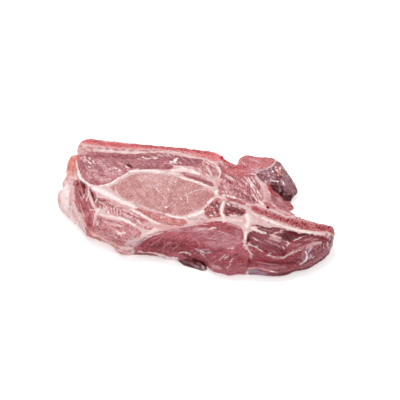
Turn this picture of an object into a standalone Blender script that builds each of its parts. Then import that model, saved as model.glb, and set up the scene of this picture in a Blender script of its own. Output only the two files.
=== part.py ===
# A raw bone-in pork loin slice, cut through the blade end and laid flat with its cut face up.
# The slice is drawn in plan as one outer rim and the outline of each bone and muscle inside it.
# Every piece is then raised between the underside and the cut face, and the fat fills what is left.
# Plan axes: X runs along the sawn midline, from the back fat to the rib end. Y points to that sawn edge.

import math

import bpy
import numpy as np
from mathutils import Vector
from mathutils.geometry import delaunay_2d_cdt

for old in list(bpy.data.objects):
    bpy.data.objects.remove(old, do_unlink=True)

MM = 0.001                   # the drawing is in millimetres and the scene in metres
THICKNESS = 20.0             # of the slice, away from its rounded edges
GAP = 0.3                    # left between two neighbouring pieces
OUTLINE_STEP = 3.2           # from one point of an outline to the next
SURFACE_STEP = 6.0           # from one point of a cut face to the next
FASCIA = 0.9                 # thin skin of fat that covers a muscle at the slice's side
BOX_CENTRE = (-0.7, 5.0)     # the middle of the slice, in the drawing
WALL_SHARE = 0.6             # a rounded upper edge takes away at most this much of the height
FOOT_SHARE = 0.35            # and a rounded lower edge this much
EDGE_ROWS = (0.15, 0.5, 1.0) # where rows of points follow a rounded edge, as shares of its radius
CROWN_REACH = 7.0            # how far in from its outline a piece reaches its full crown
SHARP_ANGLE = 50             # degrees from which an edge is shaded sharp
CREST_SLOPE = 1.05           # how steeply the chest wall falls away from its crest
THIN_EDGE = 1.6              # height where the chest wall runs out
NECK_END = 58.0              # where the neck muscle starts to fall
NECK_FALL = 10.0             # how far it falls over its length
NECK_LENGTH = 22.0
NECK_FOOT = 33.0             # the chest wall falls only on the near side of the neck muscle

# The outer rim: x, y, radius of the upper edge, radius of the lower edge.
RIM = [
    (56.6, 59.3, 1, 0.6), (44.6, 59.3, 1, 0.6), (33.6, 59.3, 1, 0.6), (29.2, 55.6, 1, 0.6), (26.6, 49, 1.5, 0.6),
    (19.6, 51.4, 1.5, 0.6), (12.6, 57, 1, 0.6), (6.6, 59.3, 1, 0.6), (-31.4, 59.8, 0.8, 0.6),
    (-69.4, 59.3, 0.8, 0.6), (-98.4, 59, 1.2, 0.8), (-104.4, 55, 2, 1.5), (-106, 47, 3, 2), (-103.6, 42, 2, 2),
    (-109.6, 40.2, 3, 3), (-111.9, 32.7, 6, 4), (-110.9, 22.7, 8, 4), (-111.9, 13.7, 9, 4), (-110.4, 8.7, 9, 4),
    (-112.9, 3.7, 9, 5), (-111.2, -4, 9, 5), (-104.4, -12, 8, 5), (-95.6, -21.4, 6, 5), (-85.2, -30.8, 4, 5),
    (-74.4, -34.8, 4, 5), (-63, -37, 4, 5), (-58.6, -41.6, 5, 4), (-49.4, -42.8, 6, 4), (-39.4, -40.4, 9, 4),
    (-26.4, -39.6, 10, 4), (-17.4, -41.6, 10, 4), (-8.4, -41, 10, 3), (0.6, -40.8, 10, 3), (8.6, -41, 10, 3),
    (14.6, -44.2, 11, 4), (20.6, -47.8, 12, 4), (31.6, -49.8, 12, 3), (39.6, -47.8, 9, 3), (48.6, -46.8, 8, 3),
    (58.6, -46, 9, 3), (68.6, -45.6, 11, 3), (76.6, -43.6, 13, 4), (86.6, -38, 15, 5), (95.6, -31.8, 15, 5),
    (103.8, -25.2, 12, 5), (109.2, -16.6, 8, 4), (111.4, -8.4, 4, 3), (108.6, -4.2, 1.5, 1.5), (94.6, -2, 1, 1),
    (82.6, 1, 1, 1), (76.4, 4.8, 1, 1), (73, 9.4, 1.5, 0.6), (72, 16, 0.8, 0.3), (74, 21.6, 0.6, 0.2),
    (77.6, 26.6, 0.5, 0.2), (74.4, 30.6, 0.8, 0.3), (76.4, 34.8, 4, 3), (79, 39, 6, 4), (77.6, 43, 5, 4),
    (73.4, 47, 4, 3), (69.6, 51, 4, 3), (65.6, 54.4, 3, 2), (61, 57.2, 2, 1.5),
]

# Where the flat cut face ends and the wall of the chest begins to fall.
CHEST_CREST = [(53.5, 35), (56.5, 27), (57.5, 19), (59, 12.5), (64, 9), (70, 7), (78, 5.4)]

# Each piece: its outline, how high it crowns in its middle, whether fascia covers its side, its colour and gloss.
PIECES = {
    "feather_bone": dict(
        crown=0.1, covered=False, colour=(0.55, 0.16, 0.16), roughness=0.45,
        outline=[(-112, 66), (-110, 54.4), (-100, 53), (-80, 52.6), (-60, 52.8), (-40, 53.6), (-25, 53.8),
                 (-12, 52.8), (0, 51.4), (8, 50), (13.4, 49.8), (15.6, 53), (17, 66)]),
    "vertebra": dict(
        crown=0.1, covered=False, colour=(0.6, 0.24, 0.24), roughness=0.45,
        outline=[(26, 66), (23.5, 53.5), (19, 51), (15.5, 47.5), (13.6, 44), (16.5, 40), (21.5, 35.8),
                 (26.4, 32.6), (29.5, 34.6), (32.5, 38), (38, 40.4), (44, 42.4), (50, 46), (54.8, 50.6),
                 (57.6, 56), (59, 66)]),
    "rib_bone": dict(
        crown=0.1, covered=False, colour=(0.5, 0.16, 0.14), roughness=0.45,
        outline=[(43.6, 6.4), (46, 8), (51, 6.8), (57, 5.2), (63, 3), (69, 0.8), (76, -0.4), (80, 0), (84, 8),
                 (112, 8), (118, -4), (114, -9.6), (106, -10.4), (98, -10.6), (90, -10.4), (83, -10), (76, -8.4),
                 (69, -6.2), (62, -3.8), (55, -1.8), (48.5, 0.4), (44.5, 3)]),
    "spinalis": dict(
        crown=0.5, covered=True, colour=(0.33, 0.11, 0.13), roughness=0.35,
        outline=[(-101.6, 43), (-97, 45.4), (-88, 46), (-75, 46.4), (-62, 47.6), (-50, 49), (-42, 48), (-36, 46),
                 (-31, 44.8), (-27, 43.4), (-23.6, 40.4), (-24, 37), (-29, 34.8), (-36, 34.4), (-45, 32.8),
                 (-54, 31), (-60, 27.6), (-63, 23.4), (-68, 18.8), (-73, 14.4), (-78, 11.4), (-84, 10.2),
                 (-90, 12.6), (-95.4, 17.4), (-98.6, 23), (-100.4, 29), (-102.4, 36)]),
    "upper_muscle": dict(
        crown=0.3, covered=True, colour=(0.36, 0.12, 0.14), roughness=0.35,
        outline=[(-39, 51.4), (-33, 51.8), (-24, 51), (-15, 50.2), (-6, 49.8), (-1.2, 48.8), (-1.6, 46.6),
                 (-7, 44.8), (-10, 42.6), (-15, 41.6), (-19.4, 42.4), (-23, 44.6), (-27, 46.8), (-33, 48.2)]),
    "deep_back_muscle": dict(
        crown=0.2, covered=True, colour=(0.5, 0.22, 0.22), roughness=0.35,
        outline=[(1.6, 48.6), (6, 46.4), (10.6, 42.8), (13.4, 38.4), (12.8, 34), (9.8, 32), (5.4, 33.4),
                 (0.6, 34.8), (-4, 37), (-6, 40), (-4, 43), (-0.4, 45.4)]),
    "sliver_muscle": dict(
        crown=-0.2, covered=True, colour=(0.28, 0.09, 0.1), roughness=0.35,
        outline=[(-10.6, 31.6), (-6, 31.4), (0, 30), (6, 27.8), (10.4, 25.4), (12.2, 23.8), (11, 22.8),
                 (6, 24.8), (0, 27), (-5, 28.8), (-9.2, 30.2)]),
    "loin_eye": dict(
        crown=0.9, covered=True, colour=(0.55, 0.26, 0.25), roughness=0.35,
        outline=[(-71, 10.2), (-67, 14), (-62.6, 18.6), (-58.4, 22.6), (-53.6, 26), (-48, 27.6), (-40, 28.9),
                 (-31, 29.3), (-24, 28.8), (-17, 27.6), (-10, 26), (-3, 24.2), (4, 21.4), (9.4, 18.2),
                 (13.2, 15), (12, 11.4), (9, 6.8), (6.6, 2.2), (2.6, -2.8), (-2.6, -6.2), (-8, -9.4),
                 (-14, -10.8), (-20, -9.8), (-27, -8.4), (-34, -7.2), (-41, -5.2), (-48, -2.6), (-55, -0.2),
                 (-61.6, 3), (-66.6, 6)]),
    "multifidus": dict(
        crown=0.5, covered=True, colour=(0.45, 0.16, 0.16), roughness=0.35,
        outline=[(17.6, 14.4), (16.2, 19), (15.8, 25), (17.4, 30.4), (20, 34.2), (24, 31.2), (27.6, 30.6),
                 (30.6, 33), (33.6, 36.4), (38.5, 38.4), (43, 37.4), (46, 33.6), (49.2, 28.5), (51.8, 23),
                 (52.4, 17), (49.8, 11.8), (45.5, 9.8), (40, 10.2), (34.5, 12.2), (28, 13.8), (22, 13.4)]),
    "round_muscle_left": dict(
        crown=0.5, covered=True, colour=(0.36, 0.1, 0.1), roughness=0.35,
        outline=[(10.4, 4), (12.8, 8), (16, 10.2), (19.4, 9.6), (20.2, 5.4), (19.2, 1), (19.6, -3), (21, -7),
                 (17, -8.8), (12, -9.8), (8.8, -6.5), (9, -1)]),
    "round_muscle_right": dict(
        crown=0.5, covered=True, colour=(0.36, 0.1, 0.1), roughness=0.35,
        outline=[(24, 8.8), (29, 9.6), (34, 7.2), (38, 3.8), (40.6, -0.6), (38, -4.2), (33.5, -5.6),
                 (28.5, -5), (24.8, -5.8), (23, -2.6), (22.6, 1), (23.4, 4.8)]),
    "ribbon_muscle": dict(
        crown=0.4, covered=True, colour=(0.48, 0.17, 0.16), roughness=0.35,
        outline=[(-46.4, -5.4), (-41, -6.8), (-34, -8.9), (-27, -10.4), (-20, -12), (-14, -13.4), (-8, -13.8),
                 (-4.4, -15.2), (-4, -18), (-8, -20.4), (-14, -21.2), (-21, -20.8), (-28, -19), (-35, -15.8),
                 (-41, -12), (-46, -8.4)]),
    "band_muscle": dict(
        crown=0.4, covered=True, colour=(0.48, 0.17, 0.17), roughness=0.35,
        outline=[(-82.4, -0.2), (-78, -0.6), (-73, -1.8), (-67.5, -4.4), (-62, -7.2), (-55, -9.8), (-49, -11.6),
                 (-44, -14), (-38, -17.2), (-33, -20.4), (-29.8, -23.8), (-31, -26.6), (-35.5, -27.4),
                 (-42, -24.4), (-49, -20.6), (-56, -18.4), (-63, -17.2), (-68.5, -15.8), (-72.5, -12),
                 (-76.5, -8), (-80.5, -4)]),
    "outer_band_muscle": dict(
        crown=0.6, covered=True, colour=(0.38, 0.12, 0.12), roughness=0.35,
        outline=[(-101, 13.4), (-98.4, 14.2), (-95, 11.4), (-91, 6.5), (-87.8, 1), (-84.8, -4.5), (-81, -9.8),
                 (-78, -15.2), (-77.4, -21), (-77, -27), (-77, -33), (-79, -37), (-82, -31.4), (-84.6, -26),
                 (-88, -21.2), (-91, -16), (-94, -11), (-96.6, -5), (-98.4, 2), (-100, 8)]),
    "corner_muscle": dict(
        crown=0.3, covered=True, colour=(0.5, 0.26, 0.24), roughness=0.35,
        outline=[(-97, -11), (-94, -15), (-90.4, -20), (-86.4, -26), (-83, -32), (-81, -37), (-88, -42),
                 (-100, -30), (-106, -18), (-101, -12)]),
    "lower_left_muscle": dict(
        crown=0.6, covered=True, colour=(0.5, 0.18, 0.18), roughness=0.35,
        outline=[(-75.4, -19.6), (-70, -20.4), (-64, -21.4), (-57, -22.4), (-50, -24), (-44, -26.6),
                 (-39.6, -29.4), (-37.4, -31.8), (-39.8, -34.8), (-44, -37.6), (-48, -40.4), (-50, -48), (-60, -50),
                 (-70, -46), (-74.4, -40), (-75, -31), (-75.4, -25)]),
    "lower_centre_muscle": dict(
        crown=0.8, covered=True, colour=(0.36, 0.1, 0.11), roughness=0.35,
        outline=[(-43, -41.6), (-38.4, -38), (-33, -34), (-27.2, -30.2), (-20, -26.6), (-12, -23.4), (-3, -20.8),
                 (8, -17.4), (18, -14.2), (25, -12.6), (31.5, -12.2), (36.4, -14), (39.6, -18.5), (41, -24),
                 (41.2, -29.4), (43, -33), (46.4, -36), (48, -39), (46.4, -43), (44, -52), (20, -56), (0, -50),
                 (-40, -48)]),
    "under_rib_muscle": dict(
        crown=-0.6, covered=True, colour=(0.26, 0.09, 0.09), roughness=0.35,
        outline=[(49.8, -11.4), (55, -11.8), (61, -12.6), (66, -12.8), (69.6, -12.6), (67.4, -15), (63.5, -16.6),
                 (57.5, -15.8), (52.5, -14.2)]),
    "recessed_muscle": dict(
        crown=-1.2, covered=True, colour=(0.22, 0.07, 0.09), roughness=0.35,
        outline=[(65.4, -18.4), (68.8, -16), (71.6, -13.4), (77, -13.2), (83, -13.8), (89, -13.8), (94, -13.4),
                 (90, -15.6), (85.5, -18.2), (80.5, -20), (76.4, -21.6), (71.5, -20.6)]),
    "flank_muscle": dict(
        crown=-0.5, covered=True, colour=(0.33, 0.11, 0.13), roughness=0.35,
        outline=[(44.6, -19.8), (49, -17.8), (55, -18.6), (61, -20), (65.5, -21.8), (71, -23.6), (75.4, -25.4),
                 (74.2, -29), (74, -33), (72, -35.6), (67, -36.4), (61.5, -35.2), (56.5, -33), (51, -31),
                 (45.8, -29.4), (43.6, -26.4), (44.6, -23)]),
    "rib_end_muscle": dict(
        crown=0.4, covered=True, colour=(0.4, 0.12, 0.13), roughness=0.35,
        outline=[(78.6, -25), (83, -21.8), (88.5, -18.2), (94.5, -15.6), (101, -14.4), (104.6, -15.4),
                 (104.4, -18), (100, -19.6), (95.4, -20.8), (91, -23.6), (86.5, -26.6), (81, -29.4),
                 (77, -31.8), (76.2, -28.6)]),
    "silver_flap": dict(
        crown=0.9, covered=True, colour=(0.5, 0.3, 0.36), roughness=0.3,
        outline=[(93.4, -24.2), (96.6, -21.4), (100.4, -20.8), (102.2, -22.8), (100.8, -26), (96.8, -29.8),
                 (91.6, -33.4), (87.4, -35.4), (87.6, -32.2), (89.2, -28.8)]),
    "belly_muscle": dict(
        crown=0.5, covered=False, colour=(0.36, 0.11, 0.12), roughness=0.35,
        outline=[(50.4, -37.6), (55.6, -36), (61.4, -38), (67.5, -39), (73.4, -38), (76.8, -34.4), (81.4, -31.8),
                 (85.2, -29.4), (87.2, -29), (86.2, -31.6), (85.6, -35), (86, -38), (90, -50), (60, -60), (44, -56),
                 (46.4, -50), (48.6, -43)]),
    "rib_tip_muscle": dict(
        crown=0.4, covered=False, colour=(0.33, 0.13, 0.15), roughness=0.35,
        outline=[(106.4, -12.6), (106, -15.4), (105.8, -18.4), (104.2, -22), (102.8, -26), (98.4, -31), (93, -34.8),
                 (88, -37), (88.4, -46), (112, -38), (122, -20), (117, -12.6)]),
    "chest_lining": dict(
        crown=0.0, covered=False, colour=(0.6, 0.28, 0.27), roughness=0.3,
        outline=[(54.4, 32), (55, 26), (55.4, 20), (54.6, 14.5), (53, 10.6), (57, 8), (63, 5.2), (69, 2.8),
                 (76, 1.4), (80, 3), (86, 10), (86, 25), (82, 30.4), (75, 30.8), (71.8, 30), (67, 28.8),
                 (63, 28.5), (59, 29), (56.2, 31)]),
    "neck_muscle": dict(
        crown=0.5, covered=False, colour=(0.27, 0.12, 0.14), roughness=0.35,
        outline=[(61, 66), (59.8, 57), (57, 51.4), (52.4, 46.8), (47, 43.4), (46.4, 40.6), (49, 37.6),
                 (53, 35.2), (56.6, 32.4), (59.4, 30.4), (63, 29.7), (67, 30), (71.6, 31.2), (74.6, 32),
                 (90, 36), (88, 60)]),
}

# A dark scrap of muscle that hangs from the near side and lies at the foot of the slice.
SCRAP = [(-9, -38), (-8, -42.8), (-4, -44.8), (1, -46.6), (6, -46.6), (11, -49), (14.6, -49.4), (17, -46.4),
         (14, -38)]
SCRAP_HEIGHT = 6.5
SCRAP_EDGE = 2.2             # its height at its edge
SCRAP_SLOPE = 4.0            # how far in it reaches its full height


def between(first, second, share):
    return first + (second - first) * share


def spline_point(around, knots, t):
    """The point at t on the spline that passes four neighbouring points at these knots."""
    level = around
    for reach in (1, 2):
        level = [
            between(level[k], level[k + 1], (t - knots[k]) / (knots[k + reach] - knots[k]))
            for k in range(len(level) - 1)
        ]
    return between(level[0], level[1], (t - knots[1]) / (knots[2] - knots[1]))


def smooth_loop(points, step, closed=True):
    """Points about a step apart on a centripetal spline through the given ones. Further columns blend evenly."""
    given = np.array(points, float)
    count = len(given)
    result = []
    for start in range(count if closed else count - 1):
        if closed:
            around = [given[(start + k) % count] for k in (-1, 0, 1, 2)]
        else:
            around = [given[min(max(start + k, 0), count - 1)] for k in (-1, 0, 1, 2)]
        knots = [0.0]
        for first, second in zip(around, around[1:]):
            knots.append(knots[-1] + max(math.dist(first[:2], second[:2]), 1e-6) ** 0.5)
        pieces = max(1, round(math.dist(around[1][:2], around[2][:2]) / step))
        for piece in range(pieces):
            share = piece / pieces
            point = spline_point(around, knots, between(knots[1], knots[2], share))
            point[2:] = between(around[1][2:], around[2][2:], share)
            result.append(point)
    if not closed:
        result.append(given[-1])
    return np.array(result)


def nearest(points, line, closed=True):
    """For each point: the distance to the line, and the line's further columns there."""
    starts = line if closed else line[:-1]
    ends = np.roll(line, -1, axis=0) if closed else line[1:]
    along = ends[:, :2] - starts[:, :2]
    length = (along ** 2).sum(1) + 1e-12
    share = ((points[:, None, :] - starts[None, :, :2]) * along).sum(2) / length
    share = np.clip(share, 0, 1)
    feet = starts[None, :, :2] + share[:, :, None] * along
    distance = np.linalg.norm(points[:, None, :] - feet, axis=2)
    best = distance.argmin(1)
    rows = np.arange(len(points))
    values = starts[best, 2:] + (ends[best, 2:] - starts[best, 2:]) * share[rows, best][:, None]
    return distance[rows, best], values


def inside(points, loop):
    x = points[:, 0][:, None]
    y = points[:, 1][:, None]
    first = loop[:, :2]
    second = np.roll(first, -1, axis=0)
    crosses = (first[:, 1] > y) != (second[:, 1] > y)
    at = (second[:, 0] - first[:, 0]) * (y - first[:, 1]) / (second[:, 1] - first[:, 1] + 1e-12) + first[:, 0]
    return (crosses & (x < at)).sum(1) % 2 == 1


def counterclockwise(loop):
    area = (loop[:, 0] * np.roll(loop[:, 1], -1) - loop[:, 1] * np.roll(loop[:, 0], -1)).sum()
    return loop if area > 0 else loop[::-1].copy()


def offset(loop, distance):
    """The loop moved outwards by a distance, or inwards if it is negative."""
    flat = loop[:, :2]
    turn = np.roll(flat, -1, axis=0) - np.roll(flat, 1, axis=0)
    normal = np.stack([turn[:, 1], -turn[:, 0]], 1)
    normal /= np.linalg.norm(normal, axis=1)[:, None] + 1e-9
    return flat + normal * distance


def shrunk(loop, distance):
    """The loop moved inwards, without the points that a sharp tip would fold over."""
    moved = offset(loop, -distance)
    return moved[(nearest(moved, loop)[0] > 0.6 * distance) & inside(moved, loop)]


def soft_step(t):
    t = np.clip(t, 0, 1)
    return t * t * (3 - 2 * t)


def face_height(name, points, outline):
    """The height of a piece's cut face before its outer edge is rounded."""
    height = np.full(len(points), THICKNESS)
    if outline is not None:
        middle = soft_step(nearest(points, outline)[0] / CROWN_REACH)
        height = height + PIECES[name]["crown"] * middle
    if name in ("chest_lining", "fat_and_seams"):
        past, _ = nearest(points, crest, closed=False)
        fallen = np.maximum(THICKNESS - CREST_SLOPE * np.maximum(past - 1, 0), THIN_EDGE)
        beyond = points[:, 0] > np.interp(points[:, 1], crest[::-1, 1], crest[::-1, 0])
        in_chest = beyond & (points[:, 1] < NECK_FOOT) & (points[:, 1] > crest[-1, 1])
        height = np.where(in_chest, fallen, height)
    if name == "neck_muscle":
        height -= NECK_FALL * soft_step((points[:, 0] - NECK_END) / NECK_LENGTH)
    return height


def edge_heights(name, points, outline):
    """(underside, face) of a piece: both are rounded towards the outer rim."""
    face = face_height(name, points, outline)
    distance, radii = nearest(points, rim)
    upper = np.minimum(radii[:, 0], WALL_SHARE * face)
    lower = np.minimum(radii[:, 1], FOOT_SHARE * face)

    def rounding(radius):
        near = 1 - np.clip(distance / radius, 0, 1)
        return 1 - np.sqrt(np.clip(1 - near ** 2, 0, 1))

    return lower * rounding(radii[:, 1]), face - upper * rounding(radii[:, 0])


def surface_points(outlines):
    """Rows of points that follow the rounded edge, then a staggered grid over the rest, clear of every outline."""
    rows = []
    for share in EDGE_ROWS:
        row = rim[:, :2] + (offset(rim, -1.0) - rim[:, :2]) * (rim[:, 2] * share)[:, None]
        far_enough = nearest(row, rim)[0] > 0.9 * rim[:, 2] * share
        rows.append(row[far_enough & (rim[:, 2] * share > 0.8)])
    low = rim[:, :2].min(0)
    high = rim[:, :2].max(0)
    lines = []
    for number, y in enumerate(np.arange(low[1], high[1], SURFACE_STEP * 0.866)):
        xs = np.arange(low[0] + (number % 2) * SURFACE_STEP / 2, high[0], SURFACE_STEP)
        lines.append(np.stack([xs, np.full(len(xs), y)], 1))
    grid = np.concatenate(lines)
    near_row = np.concatenate(rows)
    clear = np.full(len(grid), True)
    for start in range(0, len(grid), 500):
        block = slice(start, start + 500)
        gaps = np.linalg.norm(grid[block, None, :] - near_row[None], axis=2).min(1)
        clear[block] = gaps > SURFACE_STEP * 0.55
    points = np.concatenate([near_row, grid[clear]])
    for outline in outlines:
        points = points[nearest(points, outline)[0] > SURFACE_STEP * 0.3]
    return points


def planned(loops, belongs, outlines):
    """The plan of a piece: its corners, and the triangles whose set of enclosing loops belongs to it."""
    corners = [Vector(point) for loop in loops for point in loop[:, :2]]
    faces = []
    for loop in loops:
        first = sum(len(face) for face in faces)
        faces.append(list(range(first, first + len(loop))))
    corners += [Vector(point) for point in surface_points(outlines)]
    places, _, triangles, _, _, owners = delaunay_2d_cdt(corners, [], faces, 0, 1e-5, True)
    kept = [tuple(triangle) for triangle, owner in zip(triangles, owners) if belongs(set(owner))]
    return np.array([tuple(p) for p in places]), largest_part(kept)


def largest_part(triangles):
    """The biggest set of triangles joined by edges."""
    by_edge = {}
    for index, triangle in enumerate(triangles):
        for a, b in zip(triangle, triangle[1:] + triangle[:1]):
            by_edge.setdefault(frozenset((a, b)), []).append(index)
    parts = []
    seen = set()
    for seed in range(len(triangles)):
        if seed in seen:
            continue
        part = [seed]
        seen.add(seed)
        for index in part:
            triangle = triangles[index]
            for a, b in zip(triangle, triangle[1:] + triangle[:1]):
                fresh = [other for other in by_edge[frozenset((a, b))] if other not in seen]
                seen.update(fresh)
                part += fresh
        parts.append(part)
    return [triangles[index] for index in max(parts, key=len)]


def raised(name, plan, triangles, underside, face):
    """The closed solid between two heights over a plan, as an object with its own material."""
    used = sorted({corner for triangle in triangles for corner in triangle})
    place = {corner: number for number, corner in enumerate(used)}
    count = len(used)
    corners = []
    for heights in (face, underside):
        for corner in used:
            x, y = plan[corner]
            corners.append(((x - BOX_CENTRE[0]) * MM, (y - BOX_CENTRE[1]) * MM, heights[corner] * MM))
    tops = [tuple(place[corner] for corner in triangle) for triangle in triangles]
    edges = {(a, b) for top in tops for a, b in zip(top, top[1:] + top[:1])}
    bottoms = [tuple(corner + count for corner in reversed(top)) for top in tops]
    walls = [(b, a, a + count, b + count) for a, b in sorted(edges) if (b, a) not in edges]
    mesh = bpy.data.meshes.new(name)
    mesh.from_pydata(corners, [], tops + bottoms + walls)
    mesh.update()
    mesh.set_sharp_from_angle(angle=math.radians(SHARP_ANGLE))
    solid = bpy.data.objects.new(name, mesh)
    bpy.context.collection.objects.link(solid)
    return solid


def paint(solid, colour, roughness):
    material = bpy.data.materials.new(solid.name)
    material.use_nodes = True
    shader = material.node_tree.nodes["Principled BSDF"]
    shader.inputs["Base Color"].default_value = (*colour, 1)
    shader.inputs["Roughness"].default_value = roughness
    shader.inputs["Metallic"].default_value = 0
    solid.data.materials.append(material)


rim = counterclockwise(smooth_loop(RIM, OUTLINE_STEP))
covered_rim = shrunk(rim, FASCIA)
crest = smooth_loop(CHEST_CREST, OUTLINE_STEP, closed=False)
drawn = {name: counterclockwise(smooth_loop(piece["outline"], OUTLINE_STEP)) for name, piece in PIECES.items()}
print("outlines drawn:", len(drawn))

for name, piece in PIECES.items():
    own = shrunk(drawn[name], GAP)
    edge = shrunk(rim, FASCIA + GAP) if piece["covered"] else rim
    plan, triangles = planned([own, edge], lambda owner: owner == {0, 1}, [own, edge])
    underside, face = edge_heights(name, plan, drawn[name])
    solid = raised(name, plan, triangles, underside, face)
    paint(solid, piece["colour"], piece["roughness"])

open_holes = {2 + number for number, piece in enumerate(PIECES.values()) if not piece["covered"]}


def is_fat(owner):
    """Inside the rim, and in no muscle or bone: a covered one stops short of the rim."""
    return 0 in owner and not owner & open_holes and (1 not in owner or owner == {0, 1})


loops = [rim, covered_rim] + list(drawn.values())
plan, triangles = planned(loops, is_fat, loops)
underside, face = edge_heights("fat_and_seams", plan, None)
fat = raised("fat_and_seams", plan, triangles, underside, face)
paint(fat, (0.8, 0.55, 0.5), 0.35)

scrap_edge = counterclockwise(smooth_loop(SCRAP, OUTLINE_STEP))
plan, triangles = planned([scrap_edge, offset(rim, GAP)], lambda owner: owner == {0}, [scrap_edge, rim])
inward = nearest(plan, scrap_edge)[0]
face = SCRAP_EDGE + (SCRAP_HEIGHT - SCRAP_EDGE) * soft_step(inward / SCRAP_SLOPE)
scrap = raised("hanging_scrap", plan, triangles, np.zeros(len(plan)), face)
paint(scrap, (0.15, 0.05, 0.06), 0.4)
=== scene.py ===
import math
import bpy
import numpy as np
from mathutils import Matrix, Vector
from mathutils.geometry import delaunay_2d_cdt
from mathutils.kdtree import KDTree


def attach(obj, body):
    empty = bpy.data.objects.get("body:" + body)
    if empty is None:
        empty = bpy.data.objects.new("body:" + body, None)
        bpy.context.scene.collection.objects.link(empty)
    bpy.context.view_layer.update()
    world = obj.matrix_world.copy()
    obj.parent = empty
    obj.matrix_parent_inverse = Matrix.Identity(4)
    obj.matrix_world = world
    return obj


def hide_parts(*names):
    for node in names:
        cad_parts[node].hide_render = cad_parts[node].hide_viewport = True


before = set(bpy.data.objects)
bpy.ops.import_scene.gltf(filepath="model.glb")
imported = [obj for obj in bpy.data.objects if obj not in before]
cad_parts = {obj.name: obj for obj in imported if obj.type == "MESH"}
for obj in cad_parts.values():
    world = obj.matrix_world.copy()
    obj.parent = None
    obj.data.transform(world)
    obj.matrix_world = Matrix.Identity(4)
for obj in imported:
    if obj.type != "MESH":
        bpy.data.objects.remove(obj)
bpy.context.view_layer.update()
print("frame loaded:", len(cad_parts), "nodes")

# One raw slice of pork loin with its bones. Everything below is drawn in plan, in millimetres:
# x runs along the sawn midline and y points to it. The cut face is up.
mm = 0.001
rowRatio = 0.866        # from row to row of a grid of even triangles, for a step of 1

slab = {
    "thickness": 20.0,
    "boxCentre": (-0.7, 5.0),       # the middle of the slice, in the drawing
    "topStep": 0.5,                 # between points of the cut face
    "underStep": 1.6,               # between points of the underside
    "arcStep": 0.6,                 # between rows round an edge
    "wallRows": 14,                 # down the outer side
    "finerWithin": 1.2,             # outlines have points at a quarter of the step so near to the rim
    "edgeClear": 0.3,               # share of a step that stays free of points inside a rounded edge
    "joinClear": 0.13,              # and how far they stay from an outline
    "crownReach": 7.0,              # how far in from its outline a muscle reaches its full crown
    "upperShare": 0.6,              # a rounded edge takes away at most this share of the height
    "lowerShare": 0.35,
    "groove": (0.22, 0.9),          # depth and reach of the joint between two pieces
    "lumps": ((6.0, 0.2, 2), (1.3, 0.06, 1)),   # size, height and octaves of what swells all over the slice
    "fadeIn": 0.8,                  # fibres and marks reach their full height so far from a joint
    "rippleSize": (7.0, 2.4),       # outlines wander over these lengths
    "ripple": (0.5, 0.28),          # by this much
    "unroll": 0.78,                 # the near side is painted as if it were folded up into the plan
    "nearSide": 0.35,               # how soon the rim counts as near side as it turns that way
    "underRelief": 0.4,             # share of the fibres' height on the underside
    "rim": [    # x, y, radius of the upper edge, radius of the lower edge
        (56.6, 59.3, 1, 0.6), (44.6, 59.3, 1, 0.6), (33.6, 59.3, 1, 0.6), (29.2, 55.6, 1, 0.6),
        (26.6, 49, 1.5, 0.6), (19.6, 51.4, 1.5, 0.6), (12.6, 57, 1, 0.6), (6.6, 59.3, 1, 0.6),
        (-31.4, 59.8, 0.8, 0.6), (-69.4, 59.3, 0.8, 0.6), (-98.4, 59, 1.2, 0.8), (-104.4, 55, 2, 1.5),
        (-106, 47, 3, 2), (-103.6, 42, 2, 2), (-109.6, 40.2, 3, 3), (-111.9, 32.7, 6, 4),
        (-110.9, 22.7, 8, 4), (-111.9, 13.7, 9, 4), (-110.4, 8.7, 9, 4), (-112.9, 3.7, 9, 5),
        (-111.2, -4, 9, 5), (-103.6, -11.4, 8, 5), (-94, -19.4, 6, 6), (-84.2, -28, 4, 6),
        (-74, -32.2, 4, 6), (-62.4, -34.6, 4, 5), (-57.6, -39.6, 5, 4), (-49.4, -42.8, 6, 4),
        (-39.4, -40.4, 9, 4), (-26.4, -39.6, 10, 4), (-17.4, -41.6, 10, 4), (-8.4, -41, 10, 3),
        (0.6, -40.8, 10, 3), (8.6, -41, 10, 3), (14.6, -44.2, 11, 4), (20.6, -47.8, 12, 4),
        (31.6, -49.8, 12, 3), (39.6, -47.8, 9, 3), (48.6, -46.8, 8, 3), (58.6, -46, 9, 3),
        (68.6, -45.6, 11, 3), (76.8, -44.4, 13, 4), (86.8, -38.8, 15, 5), (96.8, -33.4, 15, 5),
        (104.4, -26, 12, 5), (109.6, -17, 8, 4), (111.4, -8.4, 4, 3), (108.6, -4.2, 1.5, 1.5),
        (94.6, -2, 1, 1), (82.6, 1, 1, 1), (76.4, 4.8, 1, 1), (73, 9.4, 1.5, 0.6), (72, 16, 0.8, 0.3),
        (73.8, 20.4, 0.6, 0.2), (77.4, 24.9, 0.5, 0.2), (74.3, 29.6, 0.8, 0.3), (76.4, 34.8, 4, 3),
        (79, 39, 6, 4), (77.6, 43, 5, 4), (73.4, 47, 4, 3), (69.6, 51, 4, 3), (65.6, 54.4, 3, 2),
        (61, 57.2, 2, 1.5)],
}


def softStep(t):
    t = np.clip(t, 0, 1)
    return t * t * (3 - 2 * t)


def hexColour(code):                # sRGB hex to linear
    channels = np.array([int(code[k:k + 2], 16) / 255 for k in (1, 3, 5)])
    return np.where(channels <= 0.04045, channels / 12.92, ((channels + 0.055) / 1.055) ** 2.4)


# a fixed random number from 0 to 1 for each cell of a grid: every noise below has a seed of its own
def scatter(ix, iy, seed):
    n = (ix * 374761393 + iy * 668265263 + seed * 362437) & 0xFFFFFFFF
    n = ((n ^ (n >> 15)) * 739982445) & 0xFFFFFFFF
    n = ((n ^ (n >> 12)) * 695872825) & 0xFFFFFFFF
    return ((n ^ (n >> 15)) & 0xFFFF) / 65535


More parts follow.
